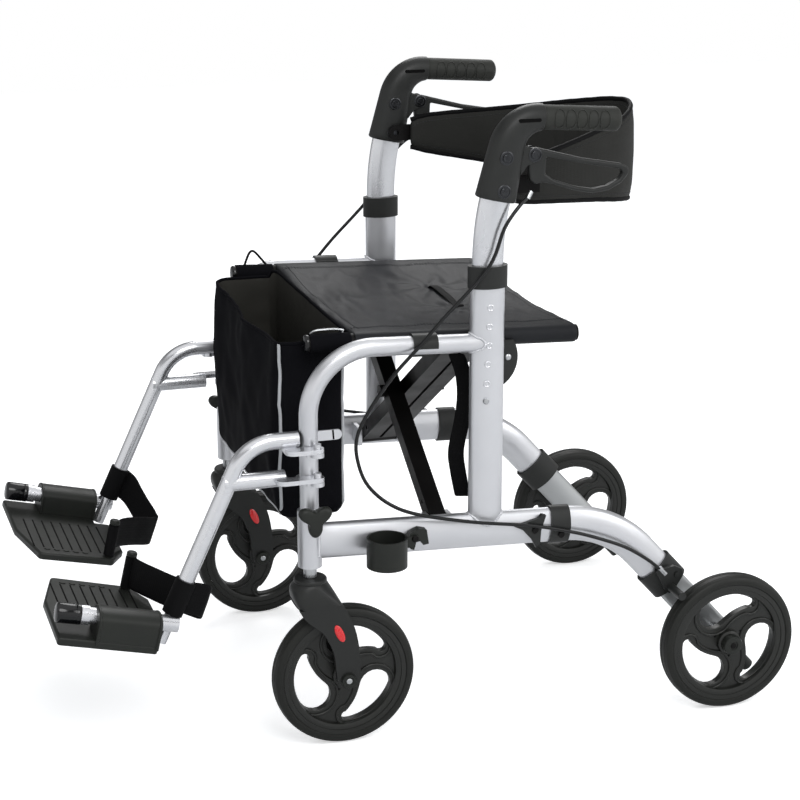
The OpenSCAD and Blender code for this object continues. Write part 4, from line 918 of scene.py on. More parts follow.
for side, sign in sides:
    body = "plate_" + side
    tread = slab([plateEdge], plate["top"] - plate["thick"], plate["top"], platePlane(sign))
    addTo(roundEdges(makePiece("footplate_" + side, tread, blackPlastic, 30), 3.0, 3, 30), body, "black_plastic",
          "footplate_" + side)
    housing = slab([arch, bore], *plate["housing"], housingPlane(sign))
    addTo(roundEdges(makePiece("footHousing_" + side, housing, blackPlastic, 30), 2.2, 3, 35), body, "black_plastic")
    # flanges at both ends of the housing
    (first, last), flange, proud = plate["housing"], plate["flange"], plate["flangeOut"]
    flanges = merge(*[slab([collar, bore], low, low + flange, housingPlane(sign))
                      for low in (first - proud, last - flange + proud)])
    addTo(roundEdges(makePiece("housingFlanges_" + side, flanges, blackPlastic, 30), 1.2, 2, 35), body, "black_plastic")
    stud = sent(turned(heelPost["profile"], 28), lambda x, y, z: onFoot(
        sign, plate["inner"] + heelPost["place"][0] + x, heelPost["place"][1] + y, z))
    addTo(makePiece("heelPost_" + side, stud, blackPlastic, 35), body, "black_plastic")
    # grooves are near-black bars of painted shade, grown flat and then laid on the tilted plate, with a row of round
    # bosses near its inner edge
    grooves = grow("footplateRibs_" + side, rowOfRibs, [(0, 0, 0)], [],
                   {"Count": plate["grooves"], "Pitch": plate["pitch"] / 1000, "Size": plate["groove"],
                    "Material": paintedRecessShade})
    firstX, firstY = plate["firstGroove"]
    for vertex in grooves.data.vertices:
        p = vertex.co
        vertex.co = onFoot(sign, p.x * 1000 + firstX, p.y * 1000 + firstY, p.z * 1000 + plate["top"])
    if sign < 0:
        grooves.data.flip_normals()
    addTo(grooves, body, "black_plastic")
    bosses = [onFoot(sign, plate["inner"] + plate["firstBoss"][0], plate["firstBoss"][1] + plate["pitch"] * k,
                     plate["top"]) for k in range(plate["bosses"])]
    setHeads("plateBosses_" + side, plate["bossHead"], bosses, [plateUp] * plate["bosses"], blackPlastic, body,
             "black_plastic")
    # gloss cap on the bar's front end
    frontCap = sent(turned(barCap, 40), lambda x, y, z: onFoot(sign, x, -z, y))
    addTo(makePiece("footBarCap_" + side, frontCap, glossPlastic, 40), "footrest_" + side, "black_plastic")
print("footplates made")


# cloth grid with its UV map in millimetres; dropped holds the (row, column) faces that are cut away
def makeSheet(name, grid, flatPlaces, material, thickMm, dropped=(), around=False, lining=None):
    rows, columns = len(grid), len(grid[0])
    faces = []
    for i in range(rows - 1):
        for j in range(columns if around else columns - 1):
            if (i, j) not in dropped:
                k = (j + 1) % columns
                faces.append([i * columns + j, i * columns + k, (i + 1) * columns + k, (i + 1) * columns + j])
    mesh = bpy.data.meshes.new(name)
    mesh.from_pydata([tuple(p) for row in grid for p in row], [], faces)
    uvs = mesh.uv_layers.new(name="clothMm").data
    flat = [p for row in flatPlaces for p in row]
    for loop in mesh.loops:
        uvs[loop.index].uv = flat[loop.vertex_index]
    cleanMesh(mesh, False)
    mesh.materials.append(material)
    mesh.shade_smooth()
    piece = addObject(name, mesh)
    wall = piece.modifiers.new("wall", "SOLIDIFY")
    wall.thickness = thickMm / 1000
    wall.offset = 0
    if lining:
        mesh.materials.append(lining)
        wall.material_offset = 1
    return refine(piece)


# sling seat: cloth over both bars, sleeves cut away round the saddles and the tops of the brace
# each notch has its two ends and the side that it is cut on, with 0 for both sides
seat = {"barR": 12.6, "front": -176, "rear": 139, "sag": 10, "thick": 2.2, "rowMm": 6, "half": 196, "columns": 44,
        "sleeveTurns": (-120, -90, -60, -30, 0, 25, 50, 75), "notchColumns": 5,
        "notches": ((-110, -70, 0), (-70, -44, -1), (-45, 13, 1)),
        "wave": 3.2, "ripple": 1.8, "crease": 2.0, "hem": 14, "hemRise": 0.9, "hemTurn": 2.2,
        "hemDrops": ((0.6, 13), (0.4, 7), (0.2, 2)), "stitchLift": 1.5, "seamX": (186, 181, -181, -186)}
# carrying strap stitched across the middle of the seat, whose ends pucker the cloth
strap = {"from": -64, "to": 72, "y": (16, 29), "steps": 28, "lift": 2.6, "rise": 2.2, "thick": 1.6, "layY": 20,
         "puckerY": 22, "pucker": 4.6, "puckerFade": 46, "puckerRays": 7}
edgesY = sorted({seat["front"], seat["rear"]} | {y for n in seat["notches"] for y in n[:2]})
rowsY = []
for a, b in zip(edgesY, edgesY[1:]):
    parts = max(1, round((b - a) / seat["rowMm"]))
    rowsY += [a + (b - a) * k / parts for k in range(parts)]
rowsY.append(seat["rear"])


def seatTop(x, y):
    u = x / seatBarX
    fade = (1 - u * u) ** 0.5 if abs(u) < 1 else 0
    z = seat["barR"] - seat["sag"] * (1 - u * u)
    z += seat["wave"] * fade * noise.noise(Vector((x * 0.006, y * 0.035, 1)))
    # wrinkles that radiate from the stitched ends of the carrying strap
    for pull in (strap["from"], strap["to"]):
        far = math.hypot(x - pull, y - strap["puckerY"])
        ray = math.cos(strap["puckerRays"] * math.atan2(y - strap["puckerY"], x - pull) + 0.6)
        z += strap["pucker"] * fade * math.exp(-far / strap["puckerFade"]) * ray
    z += seat["ripple"] * fade * noise.noise(Vector((x * 0.016 + y * 0.01, y * 0.075, 4)))
    crease = 1 - abs(noise.noise(Vector((x * 0.008, y * 0.03 + x * 0.004, 8)))) * 2
    z += seat["crease"] * fade * max(0, crease) ** 4
    if y < seat["front"] + seat["hem"]:
        z += seat["hemRise"] * fade - seat["hemTurn"] * (1 - (y - seat["front"]) / seat["hem"]) ** 2
    return z


def onSeat(x, y):
    return middle(x, y, armZ(y) + seatTop(x, y) + seat["stitchLift"])


def roundBar(sign, y, turn):
    a = math.radians(turn if sign > 0 else 180 - turn)
    return middle(sign * seatBarX + seat["barR"] * math.cos(a), y, armZ(y) + seat["barR"] * math.sin(a))


sheetX = [seat["half"] - 2 * seat["half"] * k / seat["columns"] for k in range(seat["columns"] + 1)]
grid, flatPlaces = [], []
# the first rows turn down as a hem
for y, drop in [(seat["front"] - ahead, drop) for ahead, drop in seat["hemDrops"]] + [(y, 0) for y in rowsY]:
    row = [roundBar(1, y, turn) for turn in seat["sleeveTurns"]]
    row += [middle(x, y, armZ(y) + seatTop(x, max(y, seat["front"])) - drop) for x in sheetX]
    row += [roundBar(-1, y, turn) for turn in reversed(seat["sleeveTurns"])]
    run, along = 0, []
    for a, b in zip([row[0]] + row, row):
        run += (b - a).length * 1000
        along.append((run, y))
    grid.append(row)
    flatPlaces.append(along)
dropped = set()
last = len(grid[0]) - 1
for i, y in enumerate(rowsY[:-1], len(seat["hemDrops"])):
    for low, high, which in seat["notches"]:
        if low - 0.1 <= y < high - 0.1:
            if which >= 0:
                dropped |= {(i, j) for j in range(seat["notchColumns"])}
            if which <= 0:
                dropped |= {(i, last - 1 - j) for j in range(seat["notchColumns"])}


# the cloth's placement is baked into its mesh
def layOnBars(piece):
    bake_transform(piece)
    return piece


sling = layOnBars(makeSheet("seatSling", grid, flatPlaces, coatedNylon, seat["thick"], dropped))
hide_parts("seat")
hemLines = [[onSeat(x, y) for x in sheetX] for y in (seat["front"] + seat["hem"] - 2, seat["rear"] - 10)]
barLines = [[onSeat(x, y) for y in rowsY] for x in seat["seamX"]]
seatStitches = layOnBars(rowsAlong("seatStitches", hemLines + barLines, stitch, thread))

grid, flatPlaces = [], []
for k in range(strap["steps"] + 1):
    x = strap["from"] + (strap["to"] - strap["from"]) * k / strap["steps"]
    # both ends lie flat for four steps, and the strap bows up between them
    lift = strap["lift"] + strap["rise"] * math.sin(math.pi * min(1, max(0, (k - 4) / 20))) ** 0.8
    ys = [strap["y"][0] + (strap["y"][1] - strap["y"][0]) * j / 4 for j in range(5)]
    grid.append([middle(x, y, armZ(y) + seatTop(x, strap["layY"]) + lift) for y in ys])
    flatPlaces.append([(x, y) for y in ys])
carryStrap = layOnBars(makeSheet("seatStrap", grid, flatPlaces, webbing, strap["thick"]))
print("seat sewn")


# bag: open pouch with slack walls and edging round its end panels
bag = {"front": -275, "depth": 94, "half": 194, "top": 559, "height": 248, "corner": 22, "thick": 2.0, "keep": 0.753,
       "sideSteps": (26, 8), "cornerSteps": 6, "floorRings": (0.03, 0.35, 0.65, 0.88), "bulge": 6, "endTuck": 4,
       "sway": 4.0, "ripple": 2.2, "crease": 2.4, "dip": 9, "frontSlack": 5, "rearRise": 9, "rearFlat": -0.4,
       "footRound": 9, "hemR": 2.4, "pipingR": 2.2, "pipingAt": 50, "pipingOut": 1.8, "footOut": 1.0}
barSleeve = {"front": -238, "length": 56, "rings": 10, "radius": 12.6, "sides": 28, "crumple": 0.5}
bagMid = bag["front"] + bag["depth"] / 2


# points round the bag with the way that each faces, corner by corner
def bagOutline():
    out, r = [], bag["corner"]
    flatX, flatY = bag["half"] - r, bag["depth"] / 2 - r
    corners = ((1, 1), (-1, 1), (-1, -1), (1, -1))
    for q, (sx, sy) in enumerate(corners):
        for k in range(bag["cornerSteps"] + 1):
            a = math.pi / 2 * (q + k / bag["cornerSteps"])
            out.append((sx * flatX + r * math.cos(a), sy * flatY + r * math.sin(a), a))
        count = bag["sideSteps"][q % 2]
        here, (nx, ny) = out[-1], corners[(q + 1) % 4]
        there = (nx * flatX + r * math.cos(a), ny * flatY + r * math.sin(a))
        for k in range(1, count):
            out.append((here[0] + (there[0] - here[0]) * k / count, here[1] + (there[1] - here[1]) * k / count, a))
    return out


# a point of the wall at a share of the height; loose scales its creases
def bagPoint(x, y, a, t, loose=1.0):
    nx, ny = math.cos(a), math.sin(a)
    along = x if abs(ny) > abs(nx) else y + 400 * math.copysign(1, nx)
    z = bag["top"] - bag["height"] + bag["height"] * t
    push = bag["bulge"] * math.sin(math.pi * t) * abs(ny)
    push -= bag["endTuck"] * math.sin(math.pi * t) * abs(nx)
    push += loose * bag["sway"] * noise.noise(Vector((along * 0.011, t * 2.2, 3)))
    push += loose * bag["ripple"] * noise.noise(Vector((along * 0.028 + t * 2, t * 5.5, 9)))
    fold = 1 - abs(noise.noise(Vector((along * 0.017 - t * 1.3, t * 3.1 + along * 0.006, 14)))) * 2.2
    push += loose * bag["crease"] * max(0, fold) ** 3
    if ny < -0.7:
        slack = max(0, t - 0.72) / 0.28
        z -= bag["dip"] * (1 - (x / bag["half"]) ** 2) * slack ** 1.6
        push += bag["frontSlack"] * slack * math.sin(x * 0.03 + 1) * (1 - (x / bag["half"]) ** 2)
    if ny > 0.7:
        # the rear panel lies flat, so that the seat's hem passes it when the chair folds
        z += bag["rearRise"] * max(0, t - 0.8) / 0.2
        push = bag["rearFlat"] * abs(push)
    rounded = max(0, 1 - t / 0.07)
    push -= bag["footRound"] * rounded ** 2
    return middle(x + push * nx, bagMid + y + push * ny, z)


levels = [0, 0.012, 0.03, 0.055] + [0.09 + 0.91 * k / 22 for k in range(23)]
grid, flatPlaces = [], []
outline = bagOutline()
centre = middle(0, bagMid, 0)
for shrink in bag["floorRings"]:
    ring = [bagPoint(x, y, a, 0, 0.4) for x, y, a in outline]
    grid.append([Vector((centre.x + (p.x - centre.x) * shrink, centre.y + (p.y - centre.y) * shrink, p.z))
                 for p in ring])
    flatPlaces.append([(x * shrink, y * shrink) for x, y, a in outline])
for t in levels:
    grid.append([bagPoint(x, y, a, t) for x, y, a in outline])
    flatPlaces.append([(x - y if abs(math.sin(a)) > 0.7 else y + x, t * bag["height"]) for x, y, a in outline])
pouch = makeSheet("bagPouch", grid, flatPlaces, bagNylon, bag["thick"], around=True, lining=bagLining)
addTo(pouch, "bag_hang", "black_cloth", "bag")

hem = tube(grid[-1], bag["hemR"], 8, closed=True)
bagExtras = [addTo(makePiece("bagHem", hem, bagNylon, 60), "bag_hang", "black_cloth")]


def bagCorner(sx, sy, t):
    slant = math.radians(bag["pipingAt"])
    x = bag["half"] - bag["corner"] + bag["corner"] * math.cos(slant)
    y = bag["depth"] / 2 - bag["corner"] + bag["corner"] * math.sin(slant)
    way = math.atan2(sy * math.sin(slant), sx * math.cos(slant))
    return bagPoint(sx * x, sy * y, way, t) + Vector((math.cos(way), math.sin(way), 0)) * (bag["pipingOut"] / 1000)


# piping runs down both ends and along the foot of the front and the rear panel
shares = [1 - 0.93 * k / 30 for k in range(31)]
reach = bag["half"] - bag["corner"]
for panel, sy in (("front", -1), ("rear", 1)):
    outwards = Vector((0, sy * bag["footOut"] / 1000, 0))
    foot = [bagPoint(reach - 2 * reach * k / 40, sy * bag["depth"] / 2, sy * math.pi / 2, 0.012) + outwards
            for k in range(41)]
    loop = [bagCorner(1, sy, t) for t in shares] + foot + [bagCorner(-1, sy, t) for t in reversed(shares)]
    edging = makePiece("bagPiping_" + panel, tube(loop, bag["pipingR"], 10), piping, 60)
    bagExtras.append(addTo(edging, "bag_hang", "black_cloth"))
# sleeves on the seat bars that carry the bag
for side, sign in sides:
    rings = []
    for y in [barSleeve["front"] + barSleeve["length"] * k / barSleeve["rings"] for k in range(barSleeve["rings"] + 1)]:
        ring = []
        for a in turns(barSleeve["sides"]):
            r = barSleeve["radius"] + barSleeve["crumple"] * noise.noise(Vector((a * 2, y * 0.08, sign)))
            ring.append(middle(sign * seatBarX + r * math.cos(a), y, armZ(y) + r * math.sin(a)))
        rings.append(ring)
    addTo(makePiece("bagSleeve_" + side, loft(rings), bagNylon, 50), barBody[side], "black_cloth")
# the pouch, its hem and its piping get meshes of their own
for piece in [pouch] + bagExtras:
    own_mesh(piece)
print("bag sewn")


# backrest: padded band that sweeps back between the handles, tallest at the rear
back = {"endY": 38, "half": 212.7, "sweep": 260, "thick": 12, "endHalf": 20, "midHalf": 74, "z": 761.2, "fill": 0.45,
        "shape": [(1, 0), (0.97, 0.09), (0.81, 0.34), (0.61, 0.6), (0.44, 0.81), (0.22, 0.95), (0, 1)],
        "crest": 0.12, "sides": 28, "edgeIn": 2, "squareUp": 0.55, "squareOut": 0.6, "puffs": (1.4, 0.8),
        "voxel": 4, "pressure": 4, "cap": 5, "frames": 20, "endHeld": 14, "bindingOut": 8, "bindingR": 3.6,
        "seamIn": 9, "seamHalf": 3, "seamOut": 7.0, "seamLift": 0.3, "keep": 0.774}
halfShape = [(x * back["half"], back["endY"] + y * back["sweep"], 0) for x, y in back["shape"]]
backLine = smooth(halfShape + [(-x, y, 0) for x, y, z in reversed(halfShape[:-1])], 7)


# half the height at a point of the line, rounded in the middle and drawn in at its edge
def backHalfHeight(i):
    fromMiddle = math.hypot(2 * i / (len(backLine) - 1) - 1, back["crest"]) - back["crest"]
    slant = (back["midHalf"] - back["endHalf"]) * fromMiddle / (math.hypot(1, back["crest"]) - back["crest"])
    return back["midHalf"] - slant - back["edgeIn"]


def offBack(p, d, out, up):
    return middle(p.x - d.y * out, p.y + d.x * out, back["z"] + up)


rings, bindings, seamRows = [], ([], []), ([], [], [], [])
for i, p in enumerate(backLine):
    d = (backLine[min(i + 1, len(backLine) - 1)] - backLine[max(i - 1, 0)]).normalized()
    h = backHalfHeight(i)
    ring = []
    for t in turns(back["sides"]):
        c = math.cos(t)
        up = h * squared(math.sin(t), back["squareUp"])
        thin = 0.5 + 0.5 * min(1, (1 - abs(up) / (h + 0.1)) * 3)
        puff = back["puffs"][0] * noise.noise(Vector((i * 0.12, up * 0.02, 6)))
        puff += back["puffs"][1] * noise.noise(Vector((i * 0.3, up * 0.05, 2)))
        out = (back["thick"] / 2 * thin + puff * abs(c)) * squared(c, back["squareOut"])
        ring.append(offBack(p, d, out, up))
    rings.append(ring)
    for binding, way in zip(bindings, (1, -1)):
        binding.append(offBack(p, d, 0, way * (h + back["bindingOut"])))
    for row, (way, face) in zip(seamRows, ((1, 1), (1, -1), (-1, 1), (-1, -1))):
        row.append(offBack(p, d, back["seamOut"] * face, way * (h - back["seamIn"])))
pad = makePiece("backrestBand", loft(rings), padCloth, 70)


def backHeld(point):
    place = Vector((point.x, point.y, 0))
    i = min(range(len(backLine)), key=lambda k: (middle(backLine[k].x, backLine[k].y, 0) - place).length_squared)
    fromSeam = abs(point.z * 1000 - back["z"]) - (backHalfHeight(i) - back["seamIn"])
    return fromSeam > -back["seamHalf"] or abs(point.x * 1000) > back["half"] - back["endHeld"]


swell(pad, backHeld, back["voxel"], back["pressure"], back["cap"], back["frames"])
# seams and binding are laid on the pad as it has swollen
for row in seamRows:
    for k, p in enumerate(row):
        place, normal = pad.closest_point_on_mesh(p)[1:3]
        row[k] = place + normal * (back["seamLift"] / 1000)
for binding in bindings:
    edge = [pad.closest_point_on_mesh(p)[1].z for p in binding]
    for k, p in enumerate(binding):
        near = edge[max(0, k - 2):k + 3]
        p.z = sum(near) / len(near)
uvs = pad.data.uv_layers.new(name="clothMm").data
for loop in pad.data.loops:
    p = pad.data.vertices[loop.vertex_index].co
    uvs[loop.index].uv = ((p.x + p.y) * 1000, p.z * 1000)
addTo(pad, "back_left", "black_cloth", "backrest")
edging = makePiece("backrestBinding", merge(*[tube(b, back["bindingR"], 12) for b in bindings]), webbing, 60)
addTo(edging, "back_left", "black_cloth")
backStitches = rowsAlong("backrestStitches", [row[1:-1] for row in seamRows], stitch, thread)
addTo(backStitches, "back_left", "black_cloth")
for piece in (pad, edging, backStitches):
    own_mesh(piece)
print("backrest padded")


# heel loops: slack strap from the hanger round the back to the post on the plate
heel = {"left": [(0, 28.3, 29.8), (-2, 40, 26), (-12, 54, 16), (-30, 51, 8), (-90, 22, 5), (-145, -6, 6),
                 (-170.4, -18.5, 8)],
        "right": [(0, 28.3, 29.8), (-8, 38, 20), (-30, 52, -8), (-54, 62, -26), (-68, 58, -27), (-110, 26, -9),
                  (-150, -4, 6), (-170.4, -18.5, 8)],
        "width": 46, "thick": 2.6, "columns": 6, "curl": 1.2, "hangerAngle": 65, "hangerTop": (-334, 442),
        "sleeve": (200, 49), "sleeveR": 14.3, "pocket": (-185, -22, -22), "pocketHigh": 46, "pocketR": 7.8}
hangerTurn = math.radians(heel["hangerAngle"])
tubeUp = Vector((0, math.cos(hangerTurn), math.sin(hangerTurn)))


def onHanger(sign, along):
    return atSide(sign, 0, heel["hangerTop"][0] - along * math.cos(hangerTurn),
                  heel["hangerTop"][1] - along * math.sin(hangerTurn))


offsets = [(k / heel["columns"] - 0.5) * heel["width"] for k in range(heel["columns"] + 1)]
for side, sign in sides:
    path = smooth([(x, footPivot[1] + y, footPivot[2] + z) for x, y, z in heel[side]], 6)
    grid, flatPlaces, run = [], [], 0
    for i, p in enumerate(path):
        share = i / (len(path) - 1)
        up = (tubeUp * (1 - share) + plateUp * share).normalized()
        run += (p - path[max(i - 1, 0)]).length
        row = []
        for k, v in enumerate(offsets):
            curl = heel["curl"] * noise.noise(Vector((i * 0.35, k * 0.4, sign * 3)))
            q = p + up * v + Vector((0, curl, 0))
            row.append(atSide(sign, q.x, q.y, q.z))
        grid.append(row)
        flatPlaces.append([(run, v) for v in offsets])
    band = makeSheet("heelLoop_" + side, grid, flatPlaces, webbing, heel["thick"])
    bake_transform(band)
    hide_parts("heel_loop_" + side)
    start, length = heel["sleeve"]
    sleeve = tube([onHanger(sign, start + length * k / 8) for k in range(9)], heel["sleeveR"], 28)
    sleevePiece = addTo(makePiece("heelSleeve_" + side, sleeve, webbing, 50), "footrest_" + side, "black_cloth")
    x, y, z = heel["pocket"]
    pocket = tube([onFoot(sign, x, y, z + heel["pocketHigh"] * k / 4) for k in range(5)], heel["pocketR"], 24)
    pocketPiece = addTo(makePiece("heelPocket_" + side, pocket, webbing, 50), "plate_" + side, "black_cloth")
print("heel loops sewn")

# folding strap that hangs behind the left post from the seat bar
hang = {"route": [(-45, -28, 528), (-45, -18, 500), (-44, -15, 468), (-44, -19, 432), (-45, -27, 390),
                  (-45, -24, 360), (-43, -17, 322)], "width": 22, "thick": 1.8, "slant": 6}
path = smooth(hang["route"], 5)
shares = [k / 4 - 0.5 for k in range(5)]
grid = [[atSide(1, p.x + hang["slant"] * v, p.y + hang["width"] * v, p.z) for v in shares] for p in path]
flatPlaces = [[(p.z, hang["width"] * v) for v in shares] for p in path]
pull = addTo(makeSheet("foldStrap", grid, flatPlaces, webbing, hang["thick"]), "bag_hang", "black_cloth")
print("fold strap hung")


# small fittings: welds, height marks, screws, plugs and wire
heads = {"mark": [(4.6, -1), (4.6, 0.5), (3.8, 0.9), (3.0, 0.5), (2.6, 0.1)],
         "button": [(4.2, -1), (4.2, 1.2), (3.4, 2.4), (1.6, 3.0)],
         "screw": [(4.6, -1), (4.6, 1.4), (3.8, 2.2), (2.4, 2.2)],
         "rivet": [(4.4, -1), (4.4, 0.4), (3.4, 1.4), (1.4, 1.8)],
         "clipScrew": [(4.8, -1), (4.8, 1.4), (3.8, 2.2), (2.6, 2.2)]}
plugs = {"bar": [(8.6, -8), (8.6, 0), (11.3, 0.2), (11.3, 3), (10, 5), (6, 6), (0.05, 6.2)], "barY": -240,
         "hanger": [(8.8, -6), (8.8, 0), (11.2, 0.1), (11.2, 1.2), (9, 1.6), (0.05, 1.6)], "hangerPlace": (-14.7, 442)}
marks = {"face": 13.6, "places": ((0, 604), (-1, 578), (-1, 552), (-3, 526), (-4, 499)), "button": (-5, 475)}
screws = {"collar": (20.0, 67), "leg": (17.5, 140), "guide": (18.0, 107, -10), "guard": (-13.7, 36, 526),
          "clip": (28.0, -109, 3)}
weld = {"postHalf": (13.6, 24.2), "railTop": 24.4, "railHalf": 14.4, "railSquare": 2.4,
        "armR": 12.9, "postFace": 14.35, "postRound": 9.65, "postFlat": 9.6, "postFall": 2.4,
        "seamX": 14.0, "seamBack": 9.2, "seamFrom": 279, "seamLength": 36, "seamSteps": 12}
barrel = {"x": 23.5, "from": 30, "to": 44, "across": 3, "radius": 3.6}
wires = {"flat": [(205, -236, 571), (207, -230, 577), (209, -214, 578.5), (210, -198, 578), (212, -190, 576.5)],
         "flatR": 1.6, "bailR": 1.8,
         "bail": [(-227, 562), (-225, 572), (-219, 588), (-215, 594), (-211, 595), (-206, 591), (-196, 579),
                  (-188, 568), (-186, 562)]}
latchSlot = {"outline": [(-216, 437.6), (-213.6, 437.6), (-214.6, 450.6), (-217, 450.6)], "half": 1.8}
pegSleeve = {"from": -70, "length": 24, "radius": 9.2}


# the post's foot on the arched top of the rail, and the arm's end on the rounded face of the post
def postFoot(sign, a):
    x, y = weld["postHalf"][0] * math.cos(a), weld["postHalf"][1] * math.sin(a)
    arched = (1 - min(1, abs(x) / weld["railHalf"]) ** weld["railSquare"]) ** 0.5
    return atSide(sign, x, y, railZ(y) + weld["railTop"] * arched)


def armEnd(sign, a):
    x, z = weld["armR"] * math.cos(a), weld["armR"] * math.sin(a)
    if abs(x) < weld["postFlat"]:
        y = -(weld["postFace"] + math.sqrt(max(0, weld["postRound"] ** 2 - x * x)))
    else:
        y = -(weld["postFace"] - (abs(x) - weld["postFlat"]) * weld["postFall"])
    return atSide(sign, x, y, armZ(y) + z)


fullTurn = [math.radians(360 * k / 40) for k in range(41)]
for side, sign in sides:
    body = side + "_frame"
    out = Vector((sign, 0, 0))
    welds = [[postFoot(sign, a) for a in fullTurn], [armEnd(sign, a) for a in fullTurn]]
    for x in (weld["seamX"], -weld["seamX"]):
        welds.append([atSide(sign, x, frontY + weld["seamBack"],
                             weld["seamFrom"] + weld["seamLength"] * k / weld["seamSteps"])
                      for k in range(weld["seamSteps"] + 1)])
    addTo(rowsAlong("frameWelds_" + side, welds, ripple, satinAluminium), body, "satin_aluminium")
    places = [atSide(sign, marks["face"], y, z) for y, z in marks["places"]]
    setHeads("heightMarks_" + side, heads["mark"], places, [out] * len(places), satinAluminium, body, "satin_aluminium")
    setHeads("springButton_" + side, heads["button"], [atSide(sign, marks["face"], *marks["button"])], [out],
             platedSteel, body, "bright_steel")
    (collarX, collarY), (guideX, guideY, guideZ) = screws["collar"], screws["guide"]
    places = [atSide(sign, collarX, collarY, railZ(collarY)), onLeg(sign, *screws["leg"], 0),
              atSide(sign, guideX, guideY, railZ(guideY) + guideZ)]
    setHeads("fittingScrews_" + side, heads["screw"], places, [out] * len(places), coatedSteel, body, "black_steel",
             0.2)
    setHeads("guardRivets_" + side, heads["rivet"], [atSide(sign, *screws["guard"])], [out], platedSteel, body,
             "bright_steel")
    # plugs in the front ends of the seat bars
    barEnd = middle(sign * seatBarX, plugs["barY"], armZ(plugs["barY"]))
    plug = lathe(plugs["bar"], barEnd, (0, -1, math.tan(slope)), 36)
    addTo(makePiece("barPlug_" + side, plug, glossPlastic, 40), barBody[side], "black_plastic")
    # cable barrel on the brake arm
    ends = [onLeg(sign, barrel["x"], wheelR + barrel[key], barrel["across"]) for key in ("from", "to")]
    addTo(makePiece("brakeBarrel_" + side, tube(ends, barrel["radius"], 16), platedSteel, 40), body, "bright_steel")
# near bail lies folded along its sleeve, and the far one stands
wire = tube([middle(*p) for p in smooth(wires["flat"], 4)], wires["flatR"], 10)
addTo(makePiece("bagBailFlat", wire, platedSteel, 60), "rear_brace", "bright_steel")
bail = smooth([(y, z, 0) for y, z in wires["bail"]], 4)
wire = tube([middle(-seatBarX, p.x, p.y) for p in bail], wires["bailR"], 10)
addTo(makePiece("bagBail", wire, coatedSteel, 60), "front_brace", "black_steel")
for side, sign in sides:
    # slot line across the latch tongue, a thin near-black slab of painted shade, and a black plug in the open end of
    # the hanger tube
    slotLine = slab([latchSlot["outline"]], -latchSlot["half"], latchSlot["half"], sidePlane(sign))
    addTo(makePiece("latchSlot_" + side, slotLine, paintedRecessShade), side + "_frame", "black_plastic")
    plugY, plugZ = plugs["hangerPlace"]
    plug = lathe(plugs["hanger"], atSide(sign, 0, frontY + plugY, plugZ), (0, 1, 0), 36)
    addTo(makePiece("hangerPlug_" + side, plug, glossPlastic, 40), "footrest_" + side, "black_plastic")
    # black sleeve on the end of the tipping peg
    peg = [onLeg(sign, 0, pegSleeve["from"] - pegSleeve["length"] * k / 4, 0) for k in range(5)]
    addTo(makePiece("pegSleeve_" + side, tube(peg, pegSleeve["radius"], 24), blackPlastic, 40), side + "_frame",
          "black_plastic")
clipX, clipY, clipZ = screws["clip"]
setHeads("caneClipScrew", heads["clipScrew"], [atSide(1, clipX, clipY, railZ(clipY) + clipZ)], [Vector((1, 0, 0))],
         coatedSteel, "left_frame", "black_steel", 0.2)
print("fittings set")


# floor, world and soft studio lamps
studio = {"floorHalf": 6, "floorGlow": 0.52, "aimZ": 0.45,
          "lamps": (("key", (3.1, -0.3, 3.2), 2.2, 64), ("fill", (2.2, 2.6, 2.0), 2.0, 34),
                    ("rim", (-2.4, 1.0, 2.6), 2.0, 40))}
half = studio["floorHalf"]
floorMesh = bpy.data.meshes.new("studioFloor")
floorMesh.from_pydata([(-half, -half, 0), (half, -half, 0), (half, half, 0), (-half, half, 0)], [], [(0, 1, 2, 3)])
paperFloor = addObject("studioFloor", floorMesh)
paper, tree, shader = startMaterial("paperBackdrop", "#F4F4F4", 0.0, 0.9)
rays = addNode(tree, "ShaderNodeLightPath")
glow = addNode(tree, "ShaderNodeEmission", {"Color": (1, 1, 1, 1), "Strength": studio["floorGlow"]})
both = addNode(tree, "ShaderNodeAddShader", {0: shader.outputs[0], 1: glow.outputs[0]})
choose = addNode(tree, "ShaderNodeMixShader",
                 {0: rays.outputs["Is Camera Ray"], 1: shader.outputs[0], 2: both.outputs[0]})
tree.links.new(choose.outputs[0], tree.nodes["Material Output"].inputs["Surface"])
floorMesh.materials.append(paper)

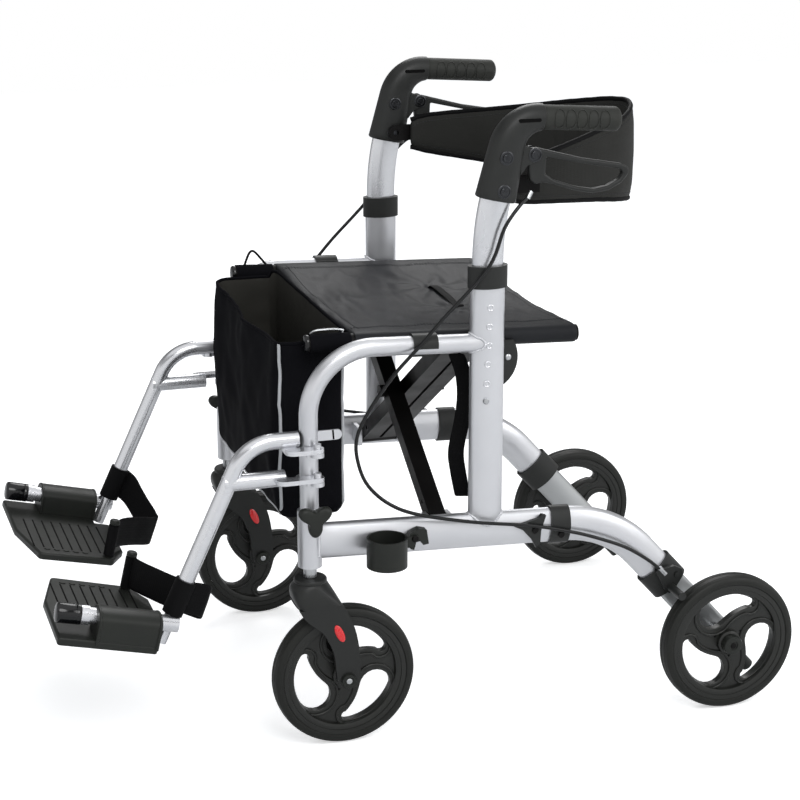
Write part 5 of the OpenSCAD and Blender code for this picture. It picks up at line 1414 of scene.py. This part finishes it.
world = bpy.data.worlds.new("studio")
bpy.context.scene.world = world
world.use_nodes = True
tree = world.node_tree
rays = addNode(tree, "ShaderNodeLightPath")
seen = addNode(tree, "ShaderNodeMath", {0: rays.outputs["Is Camera Ray"], 1: rays.outputs["Is Transmission Ray"]},
               operation="ADD", use_clamp=True)
soft = addNode(tree, "ShaderNodeBackground", {"Color": (0.93, 0.96, 1.0, 1), "Strength": 0.55})
white = addNode(tree, "ShaderNodeBackground", {"Color": (1, 1, 1, 1), "Strength": 1.0})
mixed = addNode(tree, "ShaderNodeMixShader", {0: seen.outputs[0], 1: soft.outputs[0], 2: white.outputs[0]})
# reflections see a studio whose far end is dark, which draws the edges of the tubes
ways = addNode(tree, "ShaderNodeSeparateXYZ", {"Vector": addNode(tree, "ShaderNodeTexCoord").outputs["Generated"]})
toFarEnd = addNode(tree, "ShaderNodeMapRange", {"Value": ways.outputs["X"], "From Min": -0.95, "From Max": -0.1,
                                                "To Min": 0.2, "To Max": 1.1})
# and a dim gap between the wall and the overhead softbox, which draws a line along each level tube
fromGap = addNode(tree, "ShaderNodeMath", {0: ways.outputs["Z"], 1: 0.57}, operation="SUBTRACT")
fromGap = addNode(tree, "ShaderNodeMath", {0: fromGap.outputs[0]}, operation="ABSOLUTE")
gap = addNode(tree, "ShaderNodeMapRange", {"Value": fromGap.outputs[0], "From Min": 0.05, "From Max": 0.22,
                                           "To Min": 0.3, "To Max": 1.0}, interpolation_type="SMOOTHSTEP")
level = addNode(tree, "ShaderNodeMath", {0: toFarEnd.outputs["Result"], 1: gap.outputs["Result"]},
                operation="MULTIPLY")
room = addNode(tree, "ShaderNodeBackground", {"Color": (1, 1, 1, 1), "Strength": level.outputs[0]})
lit = addNode(tree, "ShaderNodeMixShader",
              {0: rays.outputs["Is Glossy Ray"], 1: mixed.outputs[0], 2: room.outputs[0]})
tree.links.new(lit.outputs[0], tree.nodes["World Output"].inputs["Surface"])
for name, place, size, watts in studio["lamps"]:
    light = bpy.data.lights.new(name, "AREA")
    light.shape = "DISK"
    light.size = size
    light.energy = watts
    lamp = addObject(name, light)
    lamp.location = place
    aim(lamp, Vector((0, 0, studio["aimZ"])) - Vector(place))
bpy.context.scene.view_settings.view_transform = "Standard"
print("studio lit")
